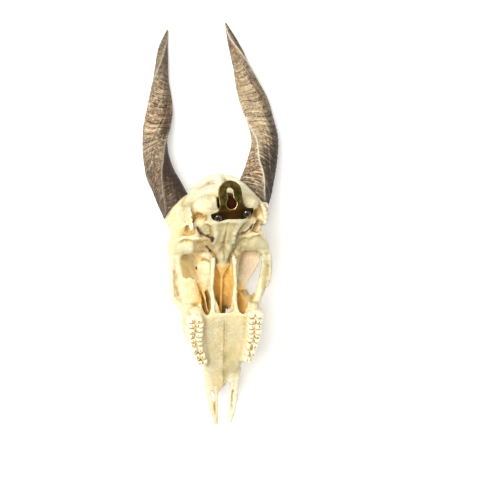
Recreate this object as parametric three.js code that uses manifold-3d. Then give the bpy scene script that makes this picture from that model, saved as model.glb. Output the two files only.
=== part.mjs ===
// A bushbuck skull without its lower jaw, with both horns and a brass keyhole hanger screwed to
// the back of it. It lies palate up, resting on its nose and on the outer ends of its horns.
// Millimetres, +Z up, nose towards -Y, horns towards +Y, the animal's left side towards -X.
import * as THREE from 'three';
import { LoftGeometry } from 'three/addons/geometries/LoftGeometry.js';
import { triTable } from 'three/addons/objects/MarchingCubes.js';
import { mergeVertices } from 'three/addons/utils/BufferGeometryUtils.js';
import Module from 'manifold-3d';

const wasm = await Module();
wasm.setup();

// Pose and frame. The skull's own frame has x across, y towards the back of the head and z towards
// the palate's side, with its origin on the palate's midline beside the last molar.
const degrees = THREE.MathUtils.degToRad;
const REST_TILT = degrees(27);
const SKULL_ORIGIN = new THREE.Vector3(-4.7, -90.8, 79);
const GAP = 0.3;

// Driving dimensions of the bone, in the skull's own frame
const MUZZLE_Y = -121;
const ARCH_X = 48;
const BRAINCASE = { at: [0, 65, -58], radii: [35, 39, 36] };
const TOOTH_ROW = { backY: 3, frontY: -48, backX: 27.5, frontX: 20.5, bow: 2.5 };
const CROWN = { backWidth: 13, frontWidth: 8.5, rootZ: -3, tipZ: 10.5 };

// Where the bone parts into its nodes, in the skull's own frame
const FACE_SUTURE = { y: -10, z: -66, angle: degrees(41) };
const ARCH_SUTURES = { x: 37, frontY: -4, backY: 43, topZ: -37 };
const MUZZLE_SUTURES = { y: -84, topZ: -33 };

// Driving dimensions of the horns: points of each core line with x and y from the skull's origin
// and z from the floor. The right horn bows out a little more than the left.
const HORN_LEFT_PATH = [
  [-35, 105, 37], [-43, 126, 31.5], [-48.6, 142.4, 27], [-48.6, 172.6, 18.5],
  [-42, 202.6, 13.6], [-39.6, 232.9, 9.6], [-35.4, 263.5, 5.4], [-29.5, 284, 3],
];
const HORN_RIGHT_PATH = [
  [38.5, 109, 37], [46.8, 124.9, 31.5], [52, 137.9, 27], [60.4, 168.3, 18.5],
  [56, 199.2, 13.6], [46.8, 230.4, 9.6], [39.3, 261.6, 5.4], [29.6, 289.7, 3],
];
const HORN_RADII = [16.3, 15.4, 14.2, 12.5, 12, 9.5, 5.5, 0.9];
const HORN_TWIST = { start: degrees(112), turn: degrees(-235) };
const HORN_KEEL = { height: 0.26, sharpness: 6 };
const HORN_STEPS = 24;
const HORN_SIDES = 14;

// Driving dimensions of the hanger: its tab's centre, with x and y from the skull's origin
const HANGER = { x: 6, y: 111.5, z: 110, thickness: 1.6, tilt: degrees(5), bend: degrees(28) };
const TAB = {
  radius: 10.7, halfNeck: 9.8, length: 16, slotRadius: 2.9, slotY: 2, holeRadius: 5, holeY: -10.3,
};
const FLANGE = { halfWidth: 18.5, depth: 13, screwX: 13.6, screwY: -5.6 };
const BEND_OVERLAP = 0.6;
const SCREW = { headRadius: 3.6, headHeight: 2, shankRadius: 1.6, length: 12 };

// Meshing of the bone: grid step, most triangles left, and most error of the thinning
const GRID_STEP = 1.9;
const BONE_TRIANGLES = 7600;
const THINNING_ERROR = 0.4;

const material = (color, roughness, metalness = 0) =>
  new THREE.MeshStandardMaterial({ color, roughness, metalness });
const BONE = material(0xeee2bf, 0.55);
const HORN = material(0x5a4a3c, 0.6);
const BRASS = material(0x7a6b2c, 0.3, 0.9);
const STEEL = material(0x4a4640, 0.35, 0.9);

// Signed distance shapes. Each has a box and a distance d(x, y, z), and the bone is even in x,
// so x is never negative.

const smoothMin = (a, b, k) => {
  const h = Math.max(k - Math.abs(a - b), 0) / k;
  return Math.min(a, b) - (h * h * k) / 4;
};

function boxAround(points, reach) {
  const box = new THREE.Box3();
  for (const p of points) box.expandByPoint(new THREE.Vector3(...p));
  return box.expandByScalar(reach);
}

// Turns a point into a shape's own axes: the shape sits at `at`, turned by x, y, z degrees.
function toLocal(at, turn) {
  const angles = turn.map(degrees);
  const m = new THREE.Matrix4().makeRotationFromEuler(new THREE.Euler(...angles)).transpose();
  const e = m.elements;
  return (x, y, z) => {
    const [a, b, c] = [x - at[0], y - at[1], z - at[2]];
    return [
      e[0] * a + e[4] * b + e[8] * c,
      e[1] * a + e[5] * b + e[9] * c,
      e[2] * a + e[6] * b + e[10] * c,
    ];
  };
}

// An ellipsoid
function ball(at, radii, turn = [0, 0, 0]) {
  const local = toLocal(at, turn);
  const d = (x, y, z) => {
    const [a, b, c] = local(x, y, z);
    const k0 = Math.hypot(a / radii[0], b / radii[1], c / radii[2]);
    const k1 = Math.hypot(a / radii[0] ** 2, b / radii[1] ** 2, c / radii[2] ** 2);
    return k1 === 0 ? -Math.min(...radii) : (k0 * (k0 - 1)) / k1;
  };
  return { box: boxAround([at], Math.max(...radii)), d };
}

// A rounded box
function slab(at, half, round, turn = [0, 0, 0]) {
  const local = toLocal(at, turn);
  const d = (x, y, z) => {
    const q = local(x, y, z).map((v, i) => Math.abs(v) - half[i] + round);
    const out = Math.hypot(Math.max(q[0], 0), Math.max(q[1], 0), Math.max(q[2], 0));
    return out + Math.min(Math.max(...q), 0) - round;
  };
  return { box: boxAround([at], Math.hypot(...half)), d };
}

// A bar through points with a radius at each, thinned by `thin` along the direction `across`
function limb(path, radii, across = [0, 0, 1], thin = 1) {
  const d = (x, y, z) => {
    let best = Infinity;
    for (let i = 0; i + 1 < path.length; i++) {
      const [a, b] = [path[i], path[i + 1]];
      const bar = squash(b[0] - a[0], b[1] - a[1], b[2] - a[2]);
      const p = squash(x - a[0], y - a[1], z - a[2]);
      const along = bar[0] * p[0] + bar[1] * p[1] + bar[2] * p[2];
      const t = Math.min(Math.max(along / (bar[0] ** 2 + bar[1] ** 2 + bar[2] ** 2), 0), 1);
      const off = Math.hypot(p[0] - t * bar[0], p[1] - t * bar[1], p[2] - t * bar[2]);
      best = Math.min(best, off - radii[i] - t * (radii[i + 1] - radii[i]));
    }
    return best;
  };
  const unit = new THREE.Vector3(...across).normalize().toArray();
  const squash = (x, y, z) => {
    const s = (thin - 1) * (x * unit[0] + y * unit[1] + z * unit[2]);
    return [x + s * unit[0], y + s * unit[1], z + s * unit[2]];
  };
  return { box: boxAround(path, Math.max(...radii)), d };
}

// A body along y from stations [y, half width below, half width above, z above, z below]
function hull(stations, power) {
  const ys = stations.map((s) => s[0]);
  const at = (y, column) => {
    const i = Math.min(Math.max(ys.findIndex((v) => v < y) - 1, 0), ys.length - 2);
    const j = y <= ys[ys.length - 1] ? ys.length - 2 : i;
    const t = Math.min(Math.max((y - ys[j]) / (ys[j + 1] - ys[j]), 0), 1);
    return stations[j][column] + t * (stations[j + 1][column] - stations[j][column]);
  };
  const d = (x, y, z) => {
    const [top, low] = [at(y, 3), at(y, 4)];
    const rise = Math.min(Math.max((low - z) / (low - top), 0), 1);
    const wide = at(y, 1) + rise * (at(y, 2) - at(y, 1));
    const high = (low - top) / 2;
    const m = ((x / wide) ** power + Math.abs((z - (low + top) / 2) / high) ** power) ** (1 / power);
    const side = (m - 1) * Math.min(wide, high);
    return Math.max(side, y - ys[0], ys[ys.length - 1] - y);
  };
  const corners = stations.flatMap((s) => [[-s[1], s[0], s[3]], [Math.max(s[1], s[2]), s[0], s[4]]]);
  return { box: boxAround(corners, 1), d };
}

const add = (shape, blend = 3) => ({ ...shape, blend, cut: false });
const cut = (shape, blend = 1.5) => ({ ...shape, blend, cut: true });

// The bone, part by part

function braincase() {
  return [
    add(ball(BRAINCASE.at, BRAINCASE.radii)),
    add(slab([0, 30, -70], [36, 34, 12], 10, [-22, 0, 0]), 12),
    add(limb([[22, 52, -74], [31, 66, -82]], [16, 15.5]), 8),
    add(slab([0, 93, -54], [28, 9, 25], 8, [-6, 0, 0]), 8),
    add(limb([[0, 104, -82], [20, 100, -76], [35, 88, -55], [40, 74, -40]], [4.5, 4, 4, 4.5]), 7),
  ];
}

function occiput() {
  return [
    add(ball([12, 97, -30], [8, 9, 11]), 5),
    add(ball([36, 82, -38], [8, 10, 13]), 6),
    add(limb([[30, 86, -32], [33.5, 83, -11]], [7.5, 2.4], [1, 0, 0], 1.5), 4),
  ];
}

function skullBase() {
  return [
    add(hull([[97, 21, 17, -44, -22], [88, 20, 15, -42, -17.5], [76, 13, 12, -40, -17],
      [60, 10.5, 10, -40, -18.5], [46, 6, 7, -38, -23]], 5), 4),
    add(ball([8, 80, -19.5], [4, 7, 3.5]), 4),
    add(ball([6, 60, -20], [3.2, 8, 3]), 4),
    cut(limb([[0, 86, -15.6], [0, 52, -18]], [1.8, 1.8]), 2.5),
    cut(ball([21, 72, -21], [7, 9, 8], [0, 0, -20]), 3),
    add(limb([[21, 54, -26], [31, 54.5, -23], [41, 52, -24]], [6.5, 7, 6.5]), 4),
    add(limb([[22, 60, -31], [36, 60, -29], [44, 52, -27]], [7, 7, 6]), 5),
    add(limb([[40, 72, -39], [43, 60, -31]], [6, 5]), 6),
    cut(limb([[0, 110, -18], [0, 92, -33], [0, 76, -46]], [11.5, 9.8, 8]), 2.5),
  ];
}

function cheeks() {
  return [
    add(limb([[29, -16, -12], [36, -3, -17], [41, 12, -21], [42, 30, -23.5], [41, 50, -26]],
      [7.5, 6.5, 6.5, 6, 6], [0.5, 0, 0.87], 1.4), 4),
    add(limb([[32, -10, -8], [41, 4, -14], [ARCH_X - 2, 20, -18], [ARCH_X - 3, 38, -21]],
      [4, 3.4, 3, 3]), 4),
    add(limb([[28, 0, -54], [32, 9, -60], [37, 24, -66], [39, 40, -65]], [4, 4, 4.5, 5]), 5),
    add(limb([[39, 42, -62], [42, 46, -46], [43, 43, -28]], [4.5, 3.8, 4], [1, 0, 0], 1.2), 4),
    add(limb([[28, 0, -54], [33, -7, -42], [37, -4, -30], [41, 8, -24]], [4.5, 5, 5, 4]), 5),
  ];
}

function sockets() {
  return [
    cut(ball([40, 21, -44], [20, 18, 18]), 3),
    cut(ball([33, 36, -42], [12, 13, 20]), 4),
    cut(ball([24, 17, -22], [9, 16, 14], [0, 0, 12]), 3),
  ];
}

function snout() {
  return [
    add(hull([[18, 25, 25, -68, -10], [-2, 31, 22, -64, 0], [-30, 29, 17, -57, 1], [-50, 22, 13.5, -51, 1],
      [-63, 18.5, 12, -48, 0], [-86, 14.3, 9.5, -42, -1], [-99, 12, 7, -38, -3]], 4.5), 4),
    add(limb([[27, 0, -4], [27.5, -18, -2.5], [20, -48, -2]], [7.5, 7, 4.5]), 4),
    add(ball([30, -12, -13], [7, 16, 12]), 5),
    add(hull([[62, 20, 24, -72, -26], [30, 15, 23, -72, -15], [-4, 15, 20, -66, -8]], 4), 5),
  ];
}

function palateAndNose() {
  return [
    cut(hull([[40, 9.5, 8.5, -26, 8], [4, 10, 9, -34, 8], [0, 10.5, 10, -42, -5], [-30, 14, 11, -50, -7],
      [-72, 12, 8, -42, -6], [-90, 10.5, 6.5, -37.5, -5], [-104, 10, 5, -34, 3]], 3.5), 1.5),
    cut(ball([0, -26, 4], [17, 40, 7]), 4),
    cut(slab([0, -112, -14], [30, 30, 19], 6, [14, 0, 0]), 2),
    cut(ball([0, -92, 0], [10.5, 15, 9]), 2),
  ];
}

function muzzle() {
  return [
    add(limb([[14.8, -66, -5], [12.6, -88, -4], [10, -106, -1], [6.8, MUZZLE_Y + 2, 1]],
      [5, 3.4, 2.8, 2], [0, 0, 1], 0.85), 3),
    add(limb([[7, MUZZLE_Y + 6, 1], [6.2, -104, -0.5], [4.8, -92, -2]], [2, 1.8, 1.6]), 2),
    add(limb([[12.5, -96, -5], [13.2, -86, -17], [11.5, -72, -34]], [2.6, 2.5, 3.2]), 3),
    add(limb([[5.5, -70, -46], [4.8, -98, -39]], [4, 3], [0, 0, 1], 1.3), 3),
  ];
}

function throat() {
  return [
    add(limb([[12.5, -2, -5], [11.5, 10, -8], [10.5, 28, -9], [9.6, 48, -13]], [3.2, 2.2, 2.2, 2.4]), 2),
    add(slab([11, 25, -19], [1.6, 25, 9], 1, [0, 0, 2.5]), 2),
    add(slab([16, 44, -23], [7, 8, 5], 3, [0, 0, -35]), 4),
    add(limb([[0, 50, -22], [0, 22, -31], [0, -20, -34]], [3.4, 2.6, 3], [1, 0, 0], 1.8), 2),
    add(slab([0, -24, -32], [1.3, 40, 19], 0.8, [-10, 0, 0]), 1.5),
  ];
}

const STEPS = [
  ...braincase(), ...snout(), ...sockets(), ...occiput(), ...skullBase(), ...cheeks(),
  ...palateAndNose(), ...muzzle(), ...throat(),
];

function boneDistance(x, y, z) {
  let d = 50;
  for (const s of STEPS) {
    const reach = s.blend + GRID_STEP * 3;
    const near = x > s.box.min.x - reach && x < s.box.max.x + reach && y > s.box.min.y - reach
      && y < s.box.max.y + reach && z > s.box.min.z - reach && z < s.box.max.z + reach;
    if (!near) continue;
    const own = s.d(x, y, z);
    d = s.cut ? -smoothMin(-d, own, s.blend) : smoothMin(d, own, s.blend);
  }
  return d;
}

// Marching cubes: the surface where the distance is zero, as a closed indexed mesh
function polygonize(distance, box, step) {
  const size = box.getSize(new THREE.Vector3());
  const [nx, ny, nz] = size.toArray().map((v) => Math.ceil(v / step) + 1);
  const at = (i, j, k) => [box.min.x + i * step, box.min.y + j * step, box.min.z + k * step];
  const id = (i, j, k) => (k * ny + j) * nx + i;
  const values = new Float64Array(nx * ny * nz);
  for (let k = 0; k < nz; k++)
    for (let j = 0; j < ny; j++)
      for (let i = 0; i < nx; i++) {
        const [x, y, z] = at(i, j, k);
        values[id(i, j, k)] = distance(Math.abs(x), y, z);
      }
  const corners = [[0, 0, 0], [1, 0, 0], [1, 1, 0], [0, 1, 0], [0, 0, 1], [1, 0, 1], [1, 1, 1], [0, 1, 1]];
  const edges = [[0, 1], [1, 2], [2, 3], [3, 0], [4, 5], [5, 6], [6, 7], [7, 4], [0, 4], [1, 5], [2, 6], [3, 7]];
  const points = [];
  const triangles = [];
  const found = new Map();
  const keepOff = 0.1;
  const vertex = (a, b) => {
    const [ia, ib] = [id(...a), id(...b)];
    const key = ia < ib ? ia * values.length + ib : ib * values.length + ia;
    if (!found.has(key)) {
      const t = values[ia] / (values[ia] - values[ib]);
      const share = Math.min(Math.max(t, keepOff), 1 - keepOff);
      const [pa, pb] = [at(...a), at(...b)];
      found.set(key, points.length);
      points.push(pa.map((v, n) => v + share * (pb[n] - v)));
    }
    return found.get(key);
  };
  for (let k = 0; k + 1 < nz; k++)
    for (let j = 0; j + 1 < ny; j++)
      for (let i = 0; i + 1 < nx; i++) {
        const cell = corners.map((c) => [i + c[0], j + c[1], k + c[2]]);
        const inside = cell.reduce((bits, c, n) => bits | (values[id(...c)] < 0 ? 1 << n : 0), 0);
        for (let n = inside * 16; triTable[n] !== -1; n += 3) {
          const corner = (e) => vertex(...edges[triTable[n + e]].map((c) => cell[c]));
          triangles.push([corner(0), corner(2), corner(1)]);
        }
      }
  return { points, triangles };
}

// Thins a closed mesh by collapsing the edges that cost least, each cost being the summed squared
// distance to the planes of the faces that the edge's ends have stood for.
function thin(mesh, target, maxError) {
  const points = mesh.points.map((p) => p.slice());
  const faces = mesh.triangles.map((t) => t.slice());
  const around = points.map(() => new Set());
  faces.forEach((f, i) => f.forEach((v) => around[v].add(i)));
  const normal = (a, b, c) => {
    const [u, v] = [a, b].map((p, i) => [0, 1, 2].map((n) => (i ? c : b)[n] - p[n]));
    return [u[1] * v[2] - u[2] * v[1], u[2] * v[0] - u[0] * v[2], u[0] * v[1] - u[1] * v[0]];
  };
  const quadric = points.map(() => new Float64Array(10));
  const weight = new Float64Array(points.length);
  for (const f of faces) {
    const n = normal(...f.map((v) => points[v]));
    const length = Math.hypot(...n);
    const [a, b, c] = n.map((v) => v / length);
    const d = -(a * points[f[0]][0] + b * points[f[0]][1] + c * points[f[0]][2]);
    const q = [a * a, a * b, a * c, a * d, b * b, b * c, b * d, c * c, c * d, d * d];
    for (const v of f) {
      weight[v] += length;
      q.forEach((value, i) => (quadric[v][i] += value * length));
    }
  }
  const errorAt = (q, [x, y, z]) =>
    q[0] * x * x + 2 * q[1] * x * y + 2 * q[2] * x * z + 2 * q[3] * x + q[4] * y * y
    + 2 * q[5] * y * z + 2 * q[6] * y + q[7] * z * z + 2 * q[8] * z + q[9];
  const version = new Uint32Array(points.length);
  const heap = [];
  const lower = (i, j) => heap[i].cost < heap[j].cost;
  const swap = (i, j) => ([heap[i], heap[j]] = [heap[j], heap[i]]);
  const push = (item) => {
    let i = heap.push(item) - 1;
    for (let up = (i - 1) >> 1; i > 0 && lower(i, up); up = (i - 1) >> 1) {
      swap(i, up);
      i = up;
    }
  };
  const pop = () => {
    swap(0, heap.length - 1);
    const item = heap.pop();
    for (let i = 0; ; ) {
      const [left, right] = [2 * i + 1, 2 * i + 2];
      let best = left < heap.length && lower(left, i) ? left : i;
      if (right < heap.length && lower(right, best)) best = right;
      if (best === i) return item;
      swap(i, best);
      i = best;
    }
  };
  const weigh = (a, b) => {
    const q = quadric[a].map((v, i) => v + quadric[b][i]);
    const m = new THREE.Matrix3(q[0], q[1], q[2], q[1], q[4], q[5], q[2], q[5], q[7]);
    const middle = [0, 1, 2].map((n) => (points[a][n] + points[b][n]) / 2);
    const choices = [points[a], points[b], middle];
    if (Math.abs(m.determinant()) > 1e-6 * (weight[a] + weight[b]) ** 3) {
      const best = new THREE.Vector3(-q[3], -q[6], -q[8]).applyMatrix3(m.invert()).toArray();
      if (Math.hypot(...best.map((v, n) => v - middle[n])) < 2 * GRID_STEP) choices.push(best);
    }
    const costs = choices.map((p) => Math.max(errorAt(q, p), 0) / (weight[a] + weight[b]));
    const least = costs.indexOf(Math.min(...costs));
    const length = Math.hypot(...[0, 1, 2].map((n) => points[a][n] - points[b][n]));
    const cost = costs[least] + 1e-5 * length * length;
    push({ cost, a, b, q, to: choices[least], stamp: version[a] + version[b] });
  };
  const neighbours = (v) => new Set([...around[v]].flatMap((f) => faces[f]).filter((w) => w !== v));
  const holds = (v, other, to) => [...around[v]].every((f) => {
    if (faces[f].includes(other)) return true;
    const before = normal(...faces[f].map((w) => points[w]));
    const corners = faces[f].map((w) => (w === v ? to : points[w]));
    const after = normal(...corners);
    const dot = before[0] * after[0] + before[1] * after[1] + before[2] * after[2];
    const longest = Math.max(...corners.map((p, i) => Math.hypot(...p.map((c, n) => c - corners[(i + 1) % 3][n]))));
    return dot > 0.5 * Math.hypot(...before) * Math.hypot(...after)
      && Math.hypot(...after) > 0.12 * longest * longest;
  });
  const seen = new Set();
  for (const f of faces)
    for (let n = 0; n < 3; n++) {
      const [a, b] = [f[n], f[(n + 1) % 3]].sort((i, j) => i - j);
      if (!seen.has(a * points.length + b)) weigh(a, b);
      seen.add(a * points.length + b);
    }
  let left = faces.length;
  const gone = new Uint8Array(points.length);
  while (left > target && heap.length && heap[0].cost < maxError * maxError) {
    const { a, b, q, to, stamp } = pop();
    if (gone[a] || gone[b] || stamp !== version[a] + version[b]) continue;
    const shared = [...neighbours(a)].filter((v) => neighbours(b).has(v));
    if (shared.length !== 2 || !holds(a, b, to) || !holds(b, a, to)) continue;
    points[a] = to;
    quadric[a] = q;
    weight[a] += weight[b];
    gone[b] = 1;
    for (const f of around[b]) {
      if (faces[f].includes(a)) {
        faces[f].forEach((v) => v !== b && around[v].delete(f));
        faces[f] = null;
        left--;
      } else {
        faces[f] = faces[f].map((v) => (v === b ? a : v));
        around[a].add(f);
      }
    }
    version[a] += 1 + version[b];
    for (const v of neighbours(a)) weigh(Math.min(a, v), Math.max(a, v));
  }
  return { points, triangles: faces.filter(Boolean) };
}

// The scene graph: the bone in the head's tilted frame, the horns in the part's, and the hanger in
// its own, with the flange bent down from the tab

const skull = new THREE.Group();
const head = new THREE.Group();
head.position.copy(SKULL_ORIGIN);
head.rotation.x = REST_TILT;
const horns = new THREE.Group();
horns.position.set(SKULL_ORIGIN.x, SKULL_ORIGIN.y, 0);
const hanger = new THREE.Group();
hanger.position.set(SKULL_ORIGIN.x + HANGER.x, SKULL_ORIGIN.y + HANGER.y, HANGER.z);
hanger.rotation.x = HANGER.tilt;
const flange = new THREE.Group();
flange.position.set(0, BEND_OVERLAP - TAB.length, 0);
flange.rotation.x = HANGER.bend;
hanger.add(flange);
skull.add(head, horns, hanger);
skull.updateMatrixWorld(true);

function place(parent, name, geometry, look) {
  const mesh = new THREE.Mesh(geometry, look);
  mesh.name = name;
  parent.add(mesh);
}

// Solids for joining and cutting

function solidFrom(positions, indices) {
  return new wasm.Manifold(new wasm.Mesh({
    numProp: 3,
    vertProperties: new Float32Array(positions),
    triVerts: new Uint32Array(indices),
  }));
}

function solidOf(geometry) {
  const bare = new THREE.BufferGeometry();
  const loose = geometry.index ? geometry.toNonIndexed() : geometry;
  bare.setAttribute('position', loose.getAttribute('position'));
  const merged = mergeVertices(bare, 1e-4);
  return solidFrom(merged.attributes.position.array, merged.index.array);
}

// A copy of a geometry of one group, as a solid in another group's frame
function solidIn(geometry, from, to) {
  const change = to.matrixWorld.clone().invert().multiply(from.matrixWorld);
  return solidOf(new THREE.BufferGeometry().copy(geometry).applyMatrix4(change));
}

function geometryOf(solid) {
  const mesh = solid.getMesh();
  const geometry = new THREE.BufferGeometry();
  geometry.setAttribute('position', new THREE.BufferAttribute(mesh.vertProperties, 3));
  geometry.setIndex(new THREE.BufferAttribute(mesh.triVerts, 1));
  geometry.computeVertexNormals();
  return geometry;
}

const largest = (solid) => solid.decompose().sort((a, b) => b.volume() - a.volume())[0];
const without = (solid, others) => largest(wasm.Manifold.difference([solid, ...others]));

function boxGeometry(min, max, grow = 0) {
  const box = new THREE.Box3().setFromPoints([new THREE.Vector3(...min), new THREE.Vector3(...max)]);
  box.expandByScalar(grow);
  const geometry = new THREE.BoxGeometry(...box.getSize(new THREE.Vector3()).toArray());
  return geometry.translate(...box.getCenter(new THREE.Vector3()).toArray());
}

function makeBone() {
  const box = new THREE.Box3(new THREE.Vector3(-56, -126, -108), new THREE.Vector3(56, 114, 10));
  const mesh = thin(polygonize(boneDistance, box, GRID_STEP), BONE_TRIANGLES, THINNING_ERROR);
  return largest(solidFrom(mesh.points.flat(), mesh.triangles.flat()));
}

// The space on the nose's side of the slanting suture between face and braincase
function faceRegion(grow = 0) {
  const size = 400;
  const geometry = new THREE.BoxGeometry(size, size, size).translate(0, grow - size / 2, 0);
  return solidOf(geometry.rotateX(-FACE_SUTURE.angle).translate(0, FACE_SUTURE.y, FACE_SUTURE.z));
}

function archRegion(side, grow = 0) {
  const { x, frontY, backY, topZ } = ARCH_SUTURES;
  return solidOf(boxGeometry([side * x, frontY, topZ], [side * 70, backY, 10], grow));
}

function muzzleRegion(side, grow = 0) {
  return solidOf(boxGeometry([side * GAP, -150, MUZZLE_SUTURES.topZ], [side * 40, MUZZLE_SUTURES.y, 20], grow));
}

// One cheek tooth row: pairs of tapered columns, an inner and an outer one in each lobe of a tooth.
// The three back teeth have two lobes each and the three front ones one. share runs along the row.
const LOBES = [
  { share: 0.06, size: 1.05 }, { share: 0.17, size: 1.1 }, { share: 0.26, size: 1 },
  { share: 0.37, size: 1.05 }, { share: 0.46, size: 0.9 }, { share: 0.56, size: 0.95 },
  { share: 0.69, size: 1.05 }, { share: 0.83, size: 1 }, { share: 0.95, size: 0.85 },
];

function toothRow(side) {
  const columns = [];
  for (const { share, size } of LOBES) {
    const y = THREE.MathUtils.lerp(TOOTH_ROW.backY, TOOTH_ROW.frontY, share);
    const bow = TOOTH_ROW.bow * Math.sin(Math.PI * share);
    const x = THREE.MathUtils.lerp(TOOTH_ROW.backX, TOOTH_ROW.frontX, share) + bow;
    const width = THREE.MathUtils.lerp(CROWN.backWidth, CROWN.frontWidth, share);
    for (const [offset, height] of [[-0.24, 0.9], [0.24, 1]]) {
      const tall = (CROWN.tipZ - CROWN.rootZ) * height;
      const column = new THREE.CylinderGeometry(width * 0.25 * size, width * 0.34 * size, tall, 6);
      column.rotateX(Math.PI / 2).rotateZ(side * share * 0.6);
      column.translate(side * (x + offset * width), y + offset * 1.5, CROWN.rootZ + tall / 2);
      columns.push(solidOf(column));
    }
  }
  return wasm.Manifold.union(columns);
}

// One horn as a loft of keeled rings. side is 1 for the animal's right and -1 for its left.
function hornGeometry(points, side, grow = 0) {
  const path = new THREE.CatmullRomCurve3(points.map((p) => new THREE.Vector3(...p)));
  const sections = [];
  for (let i = 0; i <= HORN_STEPS; i++) {
    const t = i / HORN_STEPS;
    const ahead = path.getTangent(t);
    const centre = path.getPoint(t).addScaledVector(ahead, -grow);
    const medial = new THREE.Vector3(-side, 0, 0);
    medial.addScaledVector(ahead, -medial.dot(ahead)).normalize();
    const up = medial.clone().cross(ahead).multiplyScalar(-side);
    const reach = t * (HORN_RADII.length - 1);
    const n = Math.min(Math.floor(reach), HORN_RADII.length - 2);
    const radius = THREE.MathUtils.lerp(HORN_RADII[n], HORN_RADII[n + 1], reach - n);
    const keel = HORN_TWIST.start + HORN_TWIST.turn * t;
    const ring = [];
    for (let j = 0; j < HORN_SIDES; j++) {
      const turn = (j / HORN_SIDES) * 2 * Math.PI;
      const ridge = Math.abs(Math.cos(turn)) ** HORN_KEEL.sharpness;
      const r = grow + radius * (1 - HORN_KEEL.height / 3 + HORN_KEEL.height * ridge);
      const point = centre.clone().addScaledVector(medial, r * Math.cos(keel + turn));
      ring.push(point.addScaledVector(up, r * Math.sin(keel + turn)));
    }
    sections.push(side > 0 ? ring : ring.reverse());
  }
  return new LoftGeometry(sections, { capStart: true, capEnd: true });
}

// The hanger's tab with its keyhole, in its own plane with the centre of the round end at 0, 0
function tabShape() {
  const shape = new THREE.Shape();
  const corner = Math.acos(TAB.halfNeck / TAB.radius);
  shape.moveTo(-TAB.halfNeck, -TAB.length);
  shape.lineTo(TAB.halfNeck, -TAB.length);
  shape.absarc(0, 0, TAB.radius, -corner, Math.PI + corner, false);
  const hole = new THREE.Path();
  const flare = Math.asin(TAB.slotRadius / TAB.holeRadius);
  hole.absarc(0, TAB.slotY, TAB.slotRadius, 0, Math.PI, false);
  hole.absarc(0, TAB.holeY, TAB.holeRadius, Math.PI / 2 + flare, 2.5 * Math.PI - flare, false);
  shape.holes.push(hole);
  return shape;
}

// The flange below the bend, with the bend along the top edge
function flangeShape() {
  const { halfWidth, depth, screwX, screwY } = FLANGE;
  const shape = new THREE.Shape();
  shape.moveTo(-halfWidth, 0);
  shape.quadraticCurveTo(-halfWidth, -depth * 0.75, -TAB.halfNeck, -depth * 0.88);
  shape.quadraticCurveTo(0, -depth * 1.1, TAB.halfNeck, -depth * 0.88);
  shape.quadraticCurveTo(halfWidth, -depth * 0.75, halfWidth, 0);
  for (const side of [-1, 1]) {
    const hole = new THREE.Path();
    hole.absarc(side * screwX, screwY, SCREW.shankRadius + GAP, 0, 2 * Math.PI, true);
    shape.holes.push(hole);
  }
  return shape;
}

function sheet(shape, from, to) {
  const geometry = new THREE.ExtrudeGeometry(shape, { depth: to - from, bevelEnabled: false, curveSegments: 10 });
  return geometry.translate(0, 0, from);
}

function screwGeometry(side) {
  const { headRadius, headHeight, shankRadius, length } = SCREW;
  const seat = HANGER.thickness + GAP / 2;
  const profile = [
    [0, -length], [shankRadius * 0.5, -length], [shankRadius, 2 - length], [shankRadius, seat], [headRadius, seat],
    [headRadius * 0.9, seat + headHeight * 0.55], [headRadius * 0.5, seat + headHeight], [0, seat + headHeight],
  ];
  const geometry = new THREE.LatheGeometry(profile.map((p) => new THREE.Vector2(...p)), 12);
  return geometry.rotateX(Math.PI / 2).translate(side * FLANGE.screwX, FLANGE.screwY, 0);
}

// The hole that a screw has cut in the bone
function screwHole(side) {
  const radius = SCREW.shankRadius + GAP;
  const depth = SCREW.length + 1;
  const geometry = new THREE.CylinderGeometry(radius, radius, 2 * depth, 12).rotateX(Math.PI / 2);
  return solidIn(geometry.translate(side * FLANGE.screwX, FLANGE.screwY, 0), flange, head);
}

// The bone is clear of the floor, of the hanger and all above it, and of the screws
const clearHeight = 30;
const bare = (shape) => new THREE.Shape(shape.getPoints(10));
const ground = new THREE.BoxGeometry(400, 800, 100).translate(0, 0, -50);
const bone = without(makeBone(), [
  solidIn(ground, skull, head),
  solidIn(sheet(bare(tabShape()), -GAP, clearHeight), hanger, head),
  solidIn(sheet(bare(flangeShape()), -GAP, clearHeight), flange, head),
  screwHole(-1),
  screwHole(1),
]);

const sides = [['left', -1, HORN_LEFT_PATH], ['right', 1, HORN_RIGHT_PATH]];
const hornRooms = sides.map(([, side, path]) => solidIn(hornGeometry(path, side, GAP), horns, head));
const archRooms = sides.map(([, side]) => archRegion(side, GAP));
const muzzleRooms = sides.map(([, side]) => muzzleRegion(side, GAP));
const cranium = without(bone, [faceRegion(GAP), ...archRooms, ...muzzleRooms, ...hornRooms]);
const jaw = without(bone.intersect(faceRegion()), [...archRooms, ...muzzleRooms]);

place(head, 'cranium', geometryOf(cranium), BONE);
place(head, 'face', geometryOf(largest(wasm.Manifold.union([jaw, toothRow(-1), toothRow(1)]))), BONE);
for (const [name, side, path] of sides) {
  const horn = solidOf(hornGeometry(path, side));
  place(head, 'cheek_arch_' + name, geometryOf(largest(bone.intersect(archRegion(side)))), BONE);
  place(head, 'premaxilla_' + name, geometryOf(largest(bone.intersect(muzzleRegion(side)))), BONE);
  place(horns, 'horn_' + name, geometryOf(without(horn, [solidIn(ground, skull, horns)])), HORN);
  place(flange, 'hanger_screw_' + name, screwGeometry(side), STEEL);
}
const tab = solidOf(sheet(tabShape(), 0, HANGER.thickness));
const wings = solidIn(sheet(flangeShape(), 0, HANGER.thickness), flange, hanger);
place(hanger, 'hanger_plate', geometryOf(largest(tab.add(wings))), BRASS);

export default skull;
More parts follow.
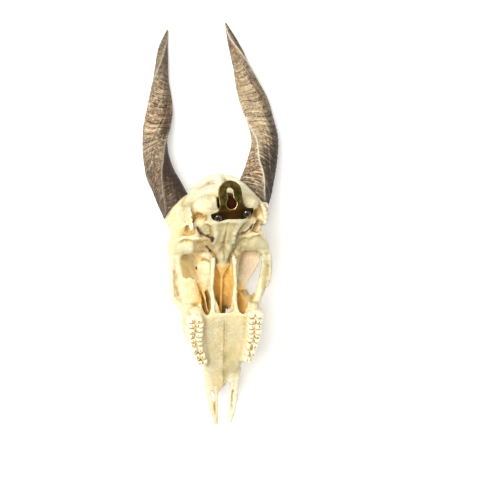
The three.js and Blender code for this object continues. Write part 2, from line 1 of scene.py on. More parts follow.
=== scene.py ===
"""A bushbuck skull without its lower jaw, lying palate up, with its horns and a keyhole hanger.

The bone is one signed distance field of named bones and hollows, in the skull's own frame: x across,
y towards the back of the head, z towards the palate's side, origin on the palate's midline beside the
last molar. The field is turned into closed meshes, one for each bone of the frame. Horns are keeled
rings carried along a path. Lengths are in millimetres until a mesh is made, which is in metres.
"""
from __future__ import annotations

import logging
import math
from collections.abc import Sequence
from dataclasses import dataclass, field
from enum import Enum

import bpy
import numpy as np
from mathutils import Matrix

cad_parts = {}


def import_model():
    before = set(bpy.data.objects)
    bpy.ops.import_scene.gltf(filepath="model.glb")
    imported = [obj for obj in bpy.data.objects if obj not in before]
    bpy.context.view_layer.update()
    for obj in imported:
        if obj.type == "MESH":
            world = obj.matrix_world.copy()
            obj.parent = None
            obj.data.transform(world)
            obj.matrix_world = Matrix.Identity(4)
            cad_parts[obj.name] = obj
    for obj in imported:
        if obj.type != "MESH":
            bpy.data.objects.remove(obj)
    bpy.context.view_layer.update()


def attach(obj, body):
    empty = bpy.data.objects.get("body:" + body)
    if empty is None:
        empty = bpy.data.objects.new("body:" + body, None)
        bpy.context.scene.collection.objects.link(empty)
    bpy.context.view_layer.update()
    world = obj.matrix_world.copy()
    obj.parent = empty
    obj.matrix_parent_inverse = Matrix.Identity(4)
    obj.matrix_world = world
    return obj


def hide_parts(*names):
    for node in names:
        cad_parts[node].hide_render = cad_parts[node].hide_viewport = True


LOG = logging.getLogger("bushbuck_skull")
MM = 0.001
ROOT = "root"

Array = np.ndarray
Vec = tuple[float, float, float]
Axes = tuple[Array, Array, Array]
Colour = tuple[float, float, float]
Socket = bpy.types.NodeSocket
Edges = tuple[tuple[float, float], ...]


class Side(Enum):
    """The animal's sides as they lie in the picture."""

    LEFT = -1.0
    RIGHT = 1.0

    def named(self, what: str) -> str:
        """Gives the name of something on this side."""
        return f"{what}_{self.name.lower()}"


# The skull's own frame

@dataclass(frozen=True)
class SkullFrame:
    """Where the skull's own frame lies in the part's frame, in millimetres."""

    origin: Vec = (-4.7, -90.8, 79.0)
    tilt: float = math.radians(27.0)

    def to_part(self, points: Array) -> Array:
        """Turns and moves points, given as rows, from the skull's frame into the part's."""
        return points @ rotation_x(self.tilt).T + np.array(self.origin)


def rotation_x(angle: float) -> Array:
    """Gives the 3 by 3 matrix that turns column vectors by an angle in radians about x."""
    c, s = math.cos(angle), math.sin(angle)
    return np.array([[1.0, 0.0, 0.0], [0.0, c, -s], [0.0, s, c]])


def rotation_xyz(turn_deg: Vec) -> Array:
    """Gives the matrix that turns about z, then y, then x.

    Args:
        turn_deg: Angles about x, y and z in degrees.

    Returns:
        A 3 by 3 matrix.
    """
    ax, ay, az = (math.radians(v) for v in turn_deg)
    cy, sy, cz, sz = math.cos(ay), math.sin(ay), math.cos(az), math.sin(az)
    about_y = np.array([[cy, 0.0, sy], [0.0, 1.0, 0.0], [-sy, 0.0, cy]])
    about_z = np.array([[cz, -sz, 0.0], [sz, cz, 0.0], [0.0, 0.0, 1.0]])
    return rotation_x(ax) @ about_y @ about_z


FRAME = SkullFrame()


# Signed distance shapes

def turned(axes: Axes, at: Vec, turn_deg: Vec) -> Axes:
    """Gives grid coordinates in the axes of a shape that sits at a point, turned.

    Args:
        axes: Open grid of x, y and z.
        at: The shape's centre.
        turn_deg: The shape's turn about x, y and z in degrees.

    Returns:
        The three coordinates in the shape's own axes.
    """
    x, y, z = (axes[i] - at[i] for i in range(3))
    if not any(turn_deg):
        return x, y, z
    m = rotation_xyz(turn_deg)
    return tuple(m[0, i] * x + m[1, i] * y + m[2, i] * z for i in range(3))


@dataclass(frozen=True)
class Ball:
    """An ellipsoid. With k0 the length of p / r and k1 of p / r^2, the distance is k0 (k0 - 1) / k1."""

    at: Vec
    radii: Vec
    turn_deg: Vec = (0.0, 0.0, 0.0)

    def bounds(self) -> tuple[Array, Array]:
        """Gives the lowest and highest corner."""
        reach = max(self.radii)
        return np.array(self.at) - reach, np.array(self.at) + reach

    def distance(self, axes: Axes) -> Array:
        """Gives the signed distance on an open grid.

        Args:
            axes: Open grid of x, y and z.

        Returns:
            Distances, negative inside.
        """
        p = turned(axes, self.at, self.turn_deg)
        k0 = np.sqrt(sum((v / r) ** 2 for v, r in zip(p, self.radii)))
        k1 = np.sqrt(sum((v / r**2) ** 2 for v, r in zip(p, self.radii)))
        return k0 * (k0 - 1.0) / np.maximum(k1, 1e-6)


@dataclass(frozen=True)
class Slab:
    """A rounded box: the distance to a smaller box, less the radius of the rounding."""

    at: Vec
    half: Vec
    rounding: float
    turn_deg: Vec = (0.0, 0.0, 0.0)

    def bounds(self) -> tuple[Array, Array]:
        """Gives the lowest and highest corner."""
        reach = float(np.linalg.norm(self.half))
        return np.array(self.at) - reach, np.array(self.at) + reach

    def distance(self, axes: Axes) -> Array:
        """Gives the signed distance on an open grid.

        Args:
            axes: Open grid of x, y and z.

        Returns:
            Distances, negative inside.
        """
        p = turned(axes, self.at, self.turn_deg)
        q = [np.abs(v) - h + self.rounding for v, h in zip(p, self.half)]
        outside = np.sqrt(sum(np.maximum(v, 0.0) ** 2 for v in q))
        inside = np.minimum(np.maximum(np.maximum(q[0], q[1]), q[2]), 0.0)
        return outside + inside - self.rounding


@dataclass(frozen=True)
class Limb:
    """A bar along points: the least distance to its segments, less a radius that runs between the
    points' radii. Along one direction distances count more, which flattens the bar."""

    path: tuple[Vec, ...]
    radii: tuple[float, ...]
    across: Vec = (0.0, 0.0, 1.0)
    flat: float = 1.0

    def bounds(self) -> tuple[Array, Array]:
        """Gives the lowest and highest corner."""
        points = np.array(self.path)
        reach = max(self.radii) / min(self.flat, 1.0)
        return points.min(0) - reach, points.max(0) + reach

    def distance(self, axes: Axes) -> Array:
        """Gives the signed distance on an open grid.

        Args:
            axes: Open grid of x, y and z.

        Returns:
            Distances, negative inside.
        """
        unit = np.array(self.across) / np.linalg.norm(self.across)
        squash = np.eye(3) + (self.flat - 1.0) * np.outer(unit, unit)
        points = np.array(self.path) @ squash
        p = axes
        if self.flat != 1.0:
            p = tuple(sum(squash[i, j] * axes[j] for j in range(3)) for i in range(3))
        best: Array | float = np.inf
        for a, b, ra, rb in zip(points, points[1:], self.radii, self.radii[1:]):
            bar = b - a
            q = [p[i] - a[i] for i in range(3)]
            along = sum(q[i] * bar[i] for i in range(3)) / float(bar @ bar)
            t = np.clip(along, 0.0, 1.0)
            off = np.sqrt(sum((q[i] - t * bar[i]) ** 2 for i in range(3)))
            best = np.minimum(best, off - ra - t * (rb - ra))
        return best


@dataclass(frozen=True)
class Hull:
    """A body along y through stations of (y, half width below, half width above, z above, z below).
    A cross-section is a superellipse, so the distance is its radius less one, times its smaller half."""

    stations: tuple[tuple[float, float, float, float, float], ...]
    power: float

    def bounds(self) -> tuple[Array, Array]:
        """Gives the lowest and highest corner.

        Returns:
            Both corners.
        """
        s = np.array(self.stations)
        wide = float(s[:, 1:3].max())
        low = np.array([-wide, s[:, 0].min(), s[:, 3].min()])
        return low - 1.0, np.array([wide, s[:, 0].max(), s[:, 4].max()]) + 1.0

    def distance(self, axes: Axes) -> Array:
        """Gives the signed distance on an open grid.

        Args:
            axes: Open grid of x, y and z.

        Returns:
            Distances, negative inside.
        """
        x, y, z = axes
        s = np.array(self.stations)[::-1]
        below, above, top, low = (np.interp(y, s[:, 0], s[:, i]) for i in range(1, 5))
        rise = np.clip((low - z) / (low - top), 0.0, 1.0)
        wide = below + rise * (above - below)
        high = (low - top) / 2.0
        across = (np.abs(x) / wide) ** self.power
        upright = np.abs((z - (low + top) / 2.0) / high) ** self.power
        side = ((across + upright) ** (1.0 / self.power) - 1.0) * np.minimum(wide, high)
        return np.maximum(side, np.maximum(y - s[-1, 0], s[0, 0] - y))


def outline_distance(x: Array, y: Array, corners: Array) -> Array:
    """Gives the signed distance to a closed outline in a plane.

    Args:
        x: First coordinate.
        y: Second coordinate.
        corners: The outline's corners as rows.

    Returns:
        Distances, negative inside.
    """
    nearest = np.full(np.broadcast(x, y).shape, np.inf)
    crossed = np.zeros(nearest.shape, bool)
    for a, b in zip(corners, np.roll(corners, -1, axis=0)):
        bar = b - a
        along = np.clip(((x - a[0]) * bar[0] + (y - a[1]) * bar[1]) / float(bar @ bar), 0.0, 1.0)
        nearest = np.minimum(nearest, np.hypot(x - a[0] - along * bar[0], y - a[1] - along * bar[1]))
        rise = bar[1] if abs(bar[1]) > 1e-9 else 1e-9
        crossed ^= ((a[1] > y) != (b[1] > y)) & (x < a[0] + (y - a[1]) * bar[0] / rise)
    return np.where(crossed, -nearest, nearest)


@dataclass(frozen=True)
class Shaft:
    """A slanting shaft: an outline at one level that drifts sideways evenly as it goes down."""

    corners: tuple[tuple[float, float], ...]
    level: float
    span: tuple[float, float]
    drift: tuple[float, float] = (0.183, -0.564)

    def bounds(self) -> tuple[Array, Array]:
        """Gives the lowest and highest corner.

        Returns:
            Both corners.
        """
        flat = np.concatenate([
            np.array(self.corners) + (self.level - z) * np.array(self.drift) for z in self.span
        ])
        return np.array((*flat.min(0), self.span[0])), np.array((*flat.max(0), self.span[1]))

    def distance(self, axes: Axes) -> Array:
        """Gives the signed distance on an open grid.

        Args:
            axes: Open grid of x, y and z.

        Returns:
            Distances, negative inside.
        """
        x, y, z = axes
        fall = self.level - z
        side = outline_distance(x - fall * self.drift[0], y - fall * self.drift[1], np.array(self.corners))
        side = side / math.hypot(1.0, *self.drift)
        return np.maximum(side, np.maximum(z - self.span[1], self.span[0] - z))


Shape = Ball | Slab | Limb | Hull | Shaft


class Work(Enum):
    """Whether a step adds its shape to the body or cuts it away."""

    ADD = 1.0
    CUT = -1.0


@dataclass(frozen=True)
class Step:
    """One shape worked into the field, with the width over which it blends."""

    work: Work
    shape: Shape
    blend: float


def add(shape: Shape, blend: float = 3.0) -> Step:
    """Makes a step that adds a shape."""
    return Step(Work.ADD, shape, blend)


def cut(shape: Shape, blend: float = 1.5) -> Step:
    """Makes a step that cuts a shape away."""
    return Step(Work.CUT, shape, blend)


def smooth_min(a: Array, b: Array, k: float) -> Array:
    """Gives a rounded minimum: min(a, b) less h^2 k / 4, with h falling from 1 to 0 as |a - b| nears k."""
    h = np.maximum(k - np.abs(a - b), 0.0) / k
    return np.minimum(a, b) - h * h * k / 4.0


@dataclass
class Grid:
    """A regular grid of sample points."""

    low: Array
    high: Array
    pitch: float
    lines: tuple[Array, Array, Array] = field(init=False)

    def __post_init__(self) -> None:
        """Lays out the three lines of coordinates."""
        counts = np.ceil((self.high - self.low) / self.pitch).astype(int) + 1
        self.lines = tuple(self.low[i] + self.pitch * np.arange(counts[i]) for i in range(3))

    def axes(self) -> Axes:
        """Gives the open grid of x, y and z."""
        return np.ix_(*self.lines)

    def shape(self) -> tuple[int, int, int]:
        """Gives the number of samples each way."""
        return tuple(len(v) for v in self.lines)

    def window(self, low: Array, high: Array) -> tuple[slice, slice, slice]:
        """Gives the slices of the samples between two corners.

        Args:
            low: Lowest corner.
            high: Highest corner.

        Returns:
            One slice for each direction.
        """
        starts = [int(np.searchsorted(self.lines[i], low[i])) for i in range(3)]
        stops = [int(np.searchsorted(self.lines[i], high[i], "right")) for i in range(3)]
        return tuple(slice(a, b) for a, b in zip(starts, stops))


def work_field(grid: Grid, steps: Sequence[Step], start: Array | None = None) -> Array:
    """Works all steps into a field of distances, each only near its shape.

    Args:
        grid: Where to sample.
        steps: The shapes in the order in which they are added and cut.
        start: Distances to start from, or None for an empty field.

    Returns:
        Distances on the grid, negative inside.
    """
    far, reach = 50.0, 4.0
    values = np.full(grid.shape(), far, np.float32) if start is None else start.copy()
    for step in steps:
        low, high = step.shape.bounds()
        margin = step.blend + reach
        window = grid.window(low - margin, high + margin)
        axes = np.ix_(*(line[w] for line, w in zip(grid.lines, window)))
        own = step.shape.distance(axes)
        sign = step.work.value
        values[window] = sign * smooth_min(sign * values[window], own, step.blend)
    return values


# Meshes out of fields

@dataclass
class Surface:
    """A closed mesh of quads, with caps of more corners where it has them and numbers for each point."""

    points: Array
    quads: Array
    traits: dict[str, Array] = field(default_factory=dict)
    caps: list[list[int]] = field(default_factory=list)

    def edges(self) -> Array:
        """Gives the two ends of each side of each quad, as rows."""
        return np.concatenate([self.quads[:, [i, (i + 1) % 4]] for i in range(4)])

    def normals(self) -> Array:
        """Gives a unit normal for each point, from the diagonals of the faces round it.

        Returns:
            Normals as rows.
        """
        corners = self.points[self.quads]
        across = np.cross(corners[:, 2] - corners[:, 0], corners[:, 3] - corners[:, 1])
        total = np.zeros_like(self.points)
        for axis in range(3):
            weights = np.repeat(across[:, axis], 4)
            total[:, axis] = np.bincount(self.quads.ravel(), weights, len(self.points))
        return total / np.maximum(np.linalg.norm(total, axis=1, keepdims=True), 1e-12)

    def relax(self, rounds: int, share: float) -> None:
        """Moves each point some way towards the mean of its neighbours.

        Args:
            rounds: How many times.
            share: Share of the way in each round.
        """
        ends = self.edges()
        count = np.bincount(ends[:, 0], minlength=len(self.points))
        for _ in range(rounds):
            mean = np.stack([
                np.bincount(ends[:, 0], self.points[ends[:, 1], axis], len(self.points)) / count
                for axis in range(3)
            ], 1)
            self.points += share * (mean - self.points)

    def relief(self, rounds: int) -> Array:
        """Gives how far each point stands out of the smoothed mesh, negative in hollows.

        Args:
            rounds: Rounds of smoothing.

        Returns:
            Heights in the mesh's unit.
        """
        smooth = Surface(self.points.copy(), self.quads)
        smooth.relax(rounds, 0.7)
        return np.einsum("ij,ij->i", self.points - smooth.points, self.normals())

    def largest(self) -> Surface:
        """Gives the connected body with the most points.

        Returns:
            A surface of that body alone, with no traits.
        """
        label = np.arange(len(self.points))
        ends = self.edges()
        while True:
            low = label.copy()
            np.minimum.at(low, ends[:, 0], label[ends[:, 1]])
            low = low[low]
            if np.array_equal(low, label):
                break
            label = low
        names, sizes = np.unique(label, return_counts=True)
        keep = label == names[np.argmax(sizes)]
        order = np.cumsum(keep) - 1
        quads = self.quads[keep[self.quads[:, 0]]]
        return Surface(self.points[keep], order[quads])


def surface_nets(values: Array, low: Array, pitch: float) -> Surface:
    """Turns a field into a closed mesh: one point in each cell that the surface crosses, at the mean
    of its crossings of the cell's edges, and one quad across each crossed edge.

    Args:
        values: Distances on a grid.
        low: The grid's lowest corner.
        pitch: The grid's spacing.

    Returns:
        The surface where the distance is zero, facing out.
    """
    inside = values < 0.0
    cells = np.array(values.shape) - 1
    rings, marks, signs = [], [], []
    for axis in range(3):
        u, v = (axis + 1) % 3, (axis + 2) % 3
        first = np.take(inside, range(cells[axis]), axis)
        second = np.take(inside, range(1, cells[axis] + 1), axis)
        edge = np.argwhere(first != second)
        edge = edge[((edge[:, [u, v]] > 0) & (edge[:, [u, v]] < cells[[u, v]])).all(1)]
        beyond = edge.copy()
        beyond[:, axis] += 1
        a, b = values[tuple(edge.T)], values[tuple(beyond.T)]
        mark = edge.astype(float)
        mark[:, axis] += a / (a - b)
        ring = []
        for du, dv in ((0, 0), (1, 0), (1, 1), (0, 1)):
            cell = edge.copy()
            cell[:, u] -= du
            cell[:, v] -= dv
            ring.append(np.ravel_multi_index(tuple(cell.T), tuple(cells)))
        rings.append(np.stack(ring, 1))
        marks.append(mark)
        signs.append(a < 0.0)
    ring = np.concatenate(rings)
    mark = np.concatenate(marks)
    outward = np.concatenate(signs)
    names, place = np.unique(ring.ravel(), return_inverse=True)
    place = place.reshape(ring.shape)
    count = np.bincount(place.ravel(), minlength=len(names))
    points = np.stack([
        np.bincount(place.ravel(), np.repeat(mark[:, axis], 4), len(names)) / count for axis in range(3)
    ], 1)
    quads = np.where(outward[:, None], place, place[:, ::-1])
    return Surface(low + pitch * points, quads)


def blended(table: Array, base: Array, share: Array) -> Array:
    """Mixes the eight samples of a table round each point, linearly along each direction.

    Args:
        table: Samples on a lattice, which repeats past its ends.
        base: Each point's lowest lattice corner, as rows.
        share: How far each point lies from it towards the next one, as rows.

    Returns:
        One number for each point.
    """
    total = np.zeros(len(base))
    for corner in np.ndindex(2, 2, 2):
        weight = np.prod(np.where(corner, share, 1.0 - share), axis=1)
        total += weight * table[tuple(((base + corner) % table.shape).T)]
    return total


def sampled(values: Array, grid: Grid, points: Array) -> Array:
    """Reads a field between its samples, linearly along each direction.

    Args:
        values: Distances on the grid.
        grid: The grid.
        points: Where to read, as rows.

    Returns:
        One distance for each point.
    """
    top = np.array(values.shape) - 1.001
    place = np.clip((points - grid.low) / grid.pitch, 0.0, top)
    base = place.astype(int)
    return blended(values, base, place - base)


def closures(surface: Surface, grid: Grid, values: Array, reaches: Sequence[float]) -> list[Array]:
    """Tells how closed in each point of a mesh is: how much slower than the distance along its normal
    the field grows.

    Args:
        surface: The mesh in the field's frame.
        grid: The field's grid.
        values: The field.
        reaches: How far to look along the normal.

    Returns:
        For each reach, numbers from 0 in the open to 1.5.
    """
    normals = surface.normals()
    return [
        np.clip(1.0 - sampled(values, grid, surface.points + reach * normals) / reach, 0.0, 1.5)
        for reach in reaches
    ]


def eased(start: float, stop: float, number: Array) -> Array:
    """Eases a number from 0 at start to 1 at stop, on the curve 3 t^2 - 2 t^3."""
    t = np.clip((number - start) / (stop - start), 0.0, 1.0)
    return t * t * (3.0 - 2.0 * t)


def bell(off: Array, width: float) -> Array:
    """Gives a bell over a distance: e^(-(off / width)^2)."""
    return np.exp(-((off / width) ** 2))


def lumps(points: Array, cell: float, seed: int) -> Array:
    """Gives smooth random lumps: random numbers on a lattice, eased between the lattice points.

    Args:
        points: Where to read, as rows.
        cell: Size of a lump.
        seed: Seed of the random numbers.

    Returns:
        Numbers from about -1 to 1.
    """
    size = 64
    table = np.random.default_rng(seed).uniform(-1.0, 1.0, (size, size, size))
    place = points / cell + 1000.0
    base = np.floor(place).astype(int)
    return blended(table, base, eased(0.0, 1.0, place - base))


@dataclass(frozen=True)
class Patch:
    """A region with soft edges: the product of eased numbers, one for each of its edges.

    An edge is the two places where its number is 0 and 1, on x, on the distance out from the midline,
    on y or on z.
    """

    x: Edges = ()
    out: Edges = ()
    y: Edges = ()
    z: Edges = ()

    def share(self, points: Array) -> Array:
        """Gives how much of each point lies in the region.

        Args:
            points: Points as rows.

        Returns:
            Numbers from 0 to 1.
        """
        x, y, z = points.T
        total = np.ones(len(points))
        for edges, place in ((self.x, x), (self.out, np.abs(x)), (self.y, y), (self.z, z)):
            for start, stop in edges:
                total = total * eased(start, stop, place)
        return total


def grid_quads(rows: int, columns: int, closed: bool) -> Array:
    """Gives the quads between neighbours on a grid of points that is counted row by row.

    Args:
        rows: Number of rows.
        columns: Number of points in a row.
        closed: Whether a row's last point meets its first.

    Returns:
        Four corners for each quad.
    """
    i, j = np.meshgrid(np.arange(rows - 1), np.arange(columns if closed else columns - 1), indexing="ij")
    this, following = i * columns, (i + 1) * columns
    beside = (j + 1) % columns
    return np.stack([this + j, this + beside, following + beside, following + j], -1).reshape(-1, 4)


def make_object(name: str, surface: Surface, material: bpy.types.Material) -> bpy.types.Object:
    """Makes a smooth-shaded mesh object from a surface in the part's frame.

    Args:
        name: The object's name.
        surface: Points in millimetres in the part's frame.
        material: Its finish.

    Returns:
        The object, linked to the scene.
    """
    mesh = bpy.data.meshes.new(name)
    mesh.from_pydata((surface.points * MM).tolist(), [], surface.quads.tolist() + surface.caps)
    mesh.polygons.foreach_set("use_smooth", np.ones(len(mesh.polygons), bool))
    for key, numbers in surface.traits.items():
        trait = mesh.attributes.new(key, "FLOAT", "POINT")
        trait.data.foreach_set("value", numbers.astype(np.float32))
    mesh.materials.append(material)
    mesh.update()
    obj = bpy.data.objects.new(name, mesh)
    bpy.context.scene.collection.objects.link(obj)
    LOG.info("%s: %d faces", name, len(mesh.polygons))
    return obj


# Finishes

class NodeSheet:
    """A material's nodes, laid out with few words, and the colour painted so far."""

    def __init__(self, name: str, colour: Colour) -> None:
        """Starts a material with a plain colour.

        Args:
            name: The material's name.
            colour: The colour below all others.
        """
        self.material = bpy.data.materials.new(name)
        self.material.use_nodes = True
        self.tree = self.material.node_tree
        self.shader = self.tree.nodes["Principled BSDF"]
        self.place = self.tree.nodes.new("ShaderNodeTexCoord").outputs["Object"]
        self.colour: Socket | Colour = colour

    def join(self, source: Socket, target: Socket) -> None:
        """Links an output to an input."""
        self.tree.links.new(source, target)

    def noise(self, scale: float, detail: float = 4.0, rough: float = 0.6,
              stretch: Vec = (1.0, 1.0, 1.0), source: Socket | None = None) -> Socket:
        """Adds a noise texture.

        Args:
            scale: Lumps to a metre.
            detail: Octaves.
            rough: How much the finer octaves count.
            stretch: Factors on the coordinates.
            source: Coordinates, or None for the object's own.

        Returns:
            The noise's output from 0 to 1.
        """
        mapping = self.tree.nodes.new("ShaderNodeMapping")
        mapping.inputs["Scale"].default_value = stretch
        self.join(source or self.place, mapping.inputs["Vector"])
        node = self.tree.nodes.new("ShaderNodeTexNoise")
        node.inputs["Scale"].default_value = scale
        node.inputs["Detail"].default_value = detail
        node.inputs["Roughness"].default_value = rough
        self.join(mapping.outputs["Vector"], node.inputs["Vector"])
        return node.outputs["Fac"]

    def trait(self, name: str) -> Socket:
        """Reads one of the mesh's own numbers.

        Args:
            name: The number's name.

        Returns:
            The number.
        """
        node = self.tree.nodes.new("ShaderNodeAttribute")
        node.attribute_name = name
        return node.outputs["Fac"]

    def ramp(self, source: Socket, low: float, high: float) -> Socket:
        """Eases a number from 0 at low to 1 at high.

        Args:
            source: The number.
            low: Where the ramp starts.
            high: Where it ends.

        Returns:
            The eased number.
        """
        node = self.tree.nodes.new("ShaderNodeMapRange")
        node.interpolation_type = "SMOOTHSTEP"
        node.inputs["From Min"].default_value = low
        node.inputs["From Max"].default_value = high
        self.join(source, node.inputs["Value"])
        return node.outputs["Result"]

    def times(self, source: Socket, other: Socket | float) -> Socket:
        """Multiplies a number by another or by a constant.

        Args:
            source: The number.
            other: What to multiply it by.

        Returns:
            The product.
        """
        node = self.tree.nodes.new("ShaderNodeMath")
        node.operation = "MULTIPLY"
        self.join(source, node.inputs[0])
        if isinstance(other, float):
            node.inputs[1].default_value = other
        else:
            self.join(other, node.inputs[1])
        return node.outputs[0]

    def paint(self, colour: Colour, share: Socket, strength: float = 1.0) -> None:
        """Mixes a colour over what is painted so far.

        Args:
            colour: The colour on top.
            share: How much of it shows.
            strength: A factor on that.
        """
        node = self.tree.nodes.new("ShaderNodeMix")
        node.data_type = "RGBA"
        self.join(share if strength == 1.0 else self.times(share, strength), node.inputs["Factor"])
        if isinstance(self.colour, tuple):
            node.inputs["A"].default_value = (*self.colour, 1.0)
        else:
            self.join(self.colour, node.inputs["A"])
        node.inputs["B"].default_value = (*colour, 1.0)
        self.colour = node.outputs["Result"]

    def bump(self, height: Socket, depth: float, strength: float, under: Socket | None = None) -> Socket:
        """Adds a bump from a height.

        Args:
            height: Height from 0 to 1.
            depth: What 1 stands for, in metres.
            strength: How strongly it shows.
            under: A normal that it lies on.

        Returns:
            The bumped normal.
        """
        node = self.tree.nodes.new("ShaderNodeBump")
        node.inputs["Distance"].default_value = depth
        node.inputs["Strength"].default_value = strength
        self.join(height, node.inputs["Height"])
        if under is not None:
            self.join(under, node.inputs["Normal"])
        return node.outputs["Normal"]

    def finish(self, roughness: Socket | float, normal: Socket, **sockets: float) -> bpy.types.Material:
        """Joins the painted colour, a roughness and a normal to the shader.

        Args:
            roughness: Roughness.
            normal: Bumped normal.
            **sockets: Constant values of other sockets, with _ for a space.

        Returns:
            The finished material.
        """
        self.join(self.colour, self.shader.inputs["Base Color"])
        if isinstance(roughness, float):
            self.shader.inputs["Roughness"].default_value = roughness
        else:
            self.join(roughness, self.shader.inputs["Roughness"])
        self.join(normal, self.shader.inputs["Normal"])
        for key, number in sockets.items():
            self.shader.inputs[key.replace("_", " ")].default_value = number
        return self.material


def from_srgb(red: float, green: float, blue: float) -> Colour:
    """Turns a colour of 0 to 255 into linear light.

    Args:
        red: Red.
        green: Green.
        blue: Blue.

    Returns:
        The linear colour.
    """
    parts = np.array([red, green, blue]) / 255.0
    linear = np.where(parts <= 0.04045, parts / 12.92, ((parts + 0.055) / 1.055) ** 2.4)
    return tuple(float(v) for v in linear)


@dataclass(frozen=True)
class BoneFinish:
    """Dry bleached bone: cream, straw in patches, white on worn edges with painted highlights on bulges,
    olive on the smooth faces, tan painted shade and dirt in crevices, painted amber shade in the hollows of
    the nose and painted dark shade in openings and grooves."""

    cream: Colour = from_srgb(226, 214, 174)
    straw: Colour = from_srgb(220, 200, 138)
    white: Colour = from_srgb(248, 244, 222)
    olive: Colour = from_srgb(170, 159, 112)
    crevice: Colour = from_srgb(152, 116, 52)
    amber: Colour = from_srgb(240, 196, 100)
    rosy: Colour = from_srgb(214, 188, 160)
    soot: Colour = from_srgb(74, 35, 19)

    def make(self) -> bpy.types.Material:
        """Builds the material from noise and from the mesh's own numbers.

        Returns:
            The material.
        """
        sheet = NodeSheet("bleached_bone", self.cream)
        sheet.paint(self.straw, sheet.ramp(sheet.noise(38.0), 0.42, 0.72))
        sheet.paint(self.straw, sheet.ramp(sheet.noise(190.0, 5.0), 0.5, 0.66), 0.6)
        sheet.paint(self.olive, sheet.trait("olive"), 0.9)
        # Amber is painted warm shade in the deep hollows.
        sheet.paint(self.amber, sheet.trait("amber"))
        sheet.paint(self.rosy, sheet.trait("rosy"))
        # White on worn edges, with painted highlights on the broad bulges.
        sheet.paint(self.white, sheet.trait("worn"), 0.8)
        # Tan painted shade and dirt where the bone closes in.
        crevice_dirt_and_shade = sheet.times(sheet.trait("crevice"), sheet.ramp(sheet.noise(120.0), 0.2, 0.6))
        sheet.paint(self.crevice, crevice_dirt_and_shade, 0.85)
        lines = sheet.noise(70.0, 5.0)
        hairline = sheet.times(sheet.ramp(lines, 0.482, 0.5), sheet.ramp(lines, 0.518, 0.5))
        sheet.paint(self.crevice, hairline, 0.2)
        speckle = sheet.noise(520.0, 3.0)
        sheet.paint(self.crevice, sheet.ramp(speckle, 0.45, 0.33), 0.1)
        sheet.paint(self.white, sheet.ramp(speckle, 0.55, 0.67), 0.2)
        # Painted dark shade in the slits, openings and grooves.
        sheet.paint(self.soot, sheet.trait("soot"))
        grain = sheet.bump(sheet.noise(600.0, 6.0, 0.65), 0.001, 0.45)
        pits = sheet.bump(sheet.ramp(sheet.noise(330.0, 3.0), 0.32, 0.46), 0.001, 0.4, grain)
        rough = sheet.ramp(sheet.noise(160.0, 3.0), -0.6, 1.5)
        return sheet.finish(rough, pits, Specular_IOR_Level=0.35)


@dataclass(frozen=True)
class EnamelFinish:
    """Tooth enamel: white crests, with brown and dark painted shade in the valleys."""

    white: Colour = from_srgb(246, 238, 208)
    ivory: Colour = from_srgb(232, 212, 156)
    brown: Colour = from_srgb(174, 142, 78)
    dark: Colour = from_srgb(78, 56, 28)

    def make(self) -> bpy.types.Material:
        """Builds the material from noise and from the mesh's own numbers.

        Returns:
            The material.
        """
        sheet = NodeSheet("tooth_enamel", self.white)
        sheet.paint(self.ivory, sheet.ramp(sheet.noise(300.0), 0.45, 0.7))
        # Brown painted shade in the valleys, darker towards the root, and dark painted shade where they are
        # deepest.
        stain_and_shade = sheet.times(sheet.trait("crevice"), sheet.ramp(sheet.noise(350.0, 3.0), 0.1, 0.6))
        sheet.paint(self.brown, stain_and_shade)
        sheet.paint(self.dark, sheet.trait("soot"))
        grain = sheet.bump(sheet.noise(1500.0), 0.0003, 0.3)
        return sheet.finish(0.32, grain, Specular_IOR_Level=0.5)


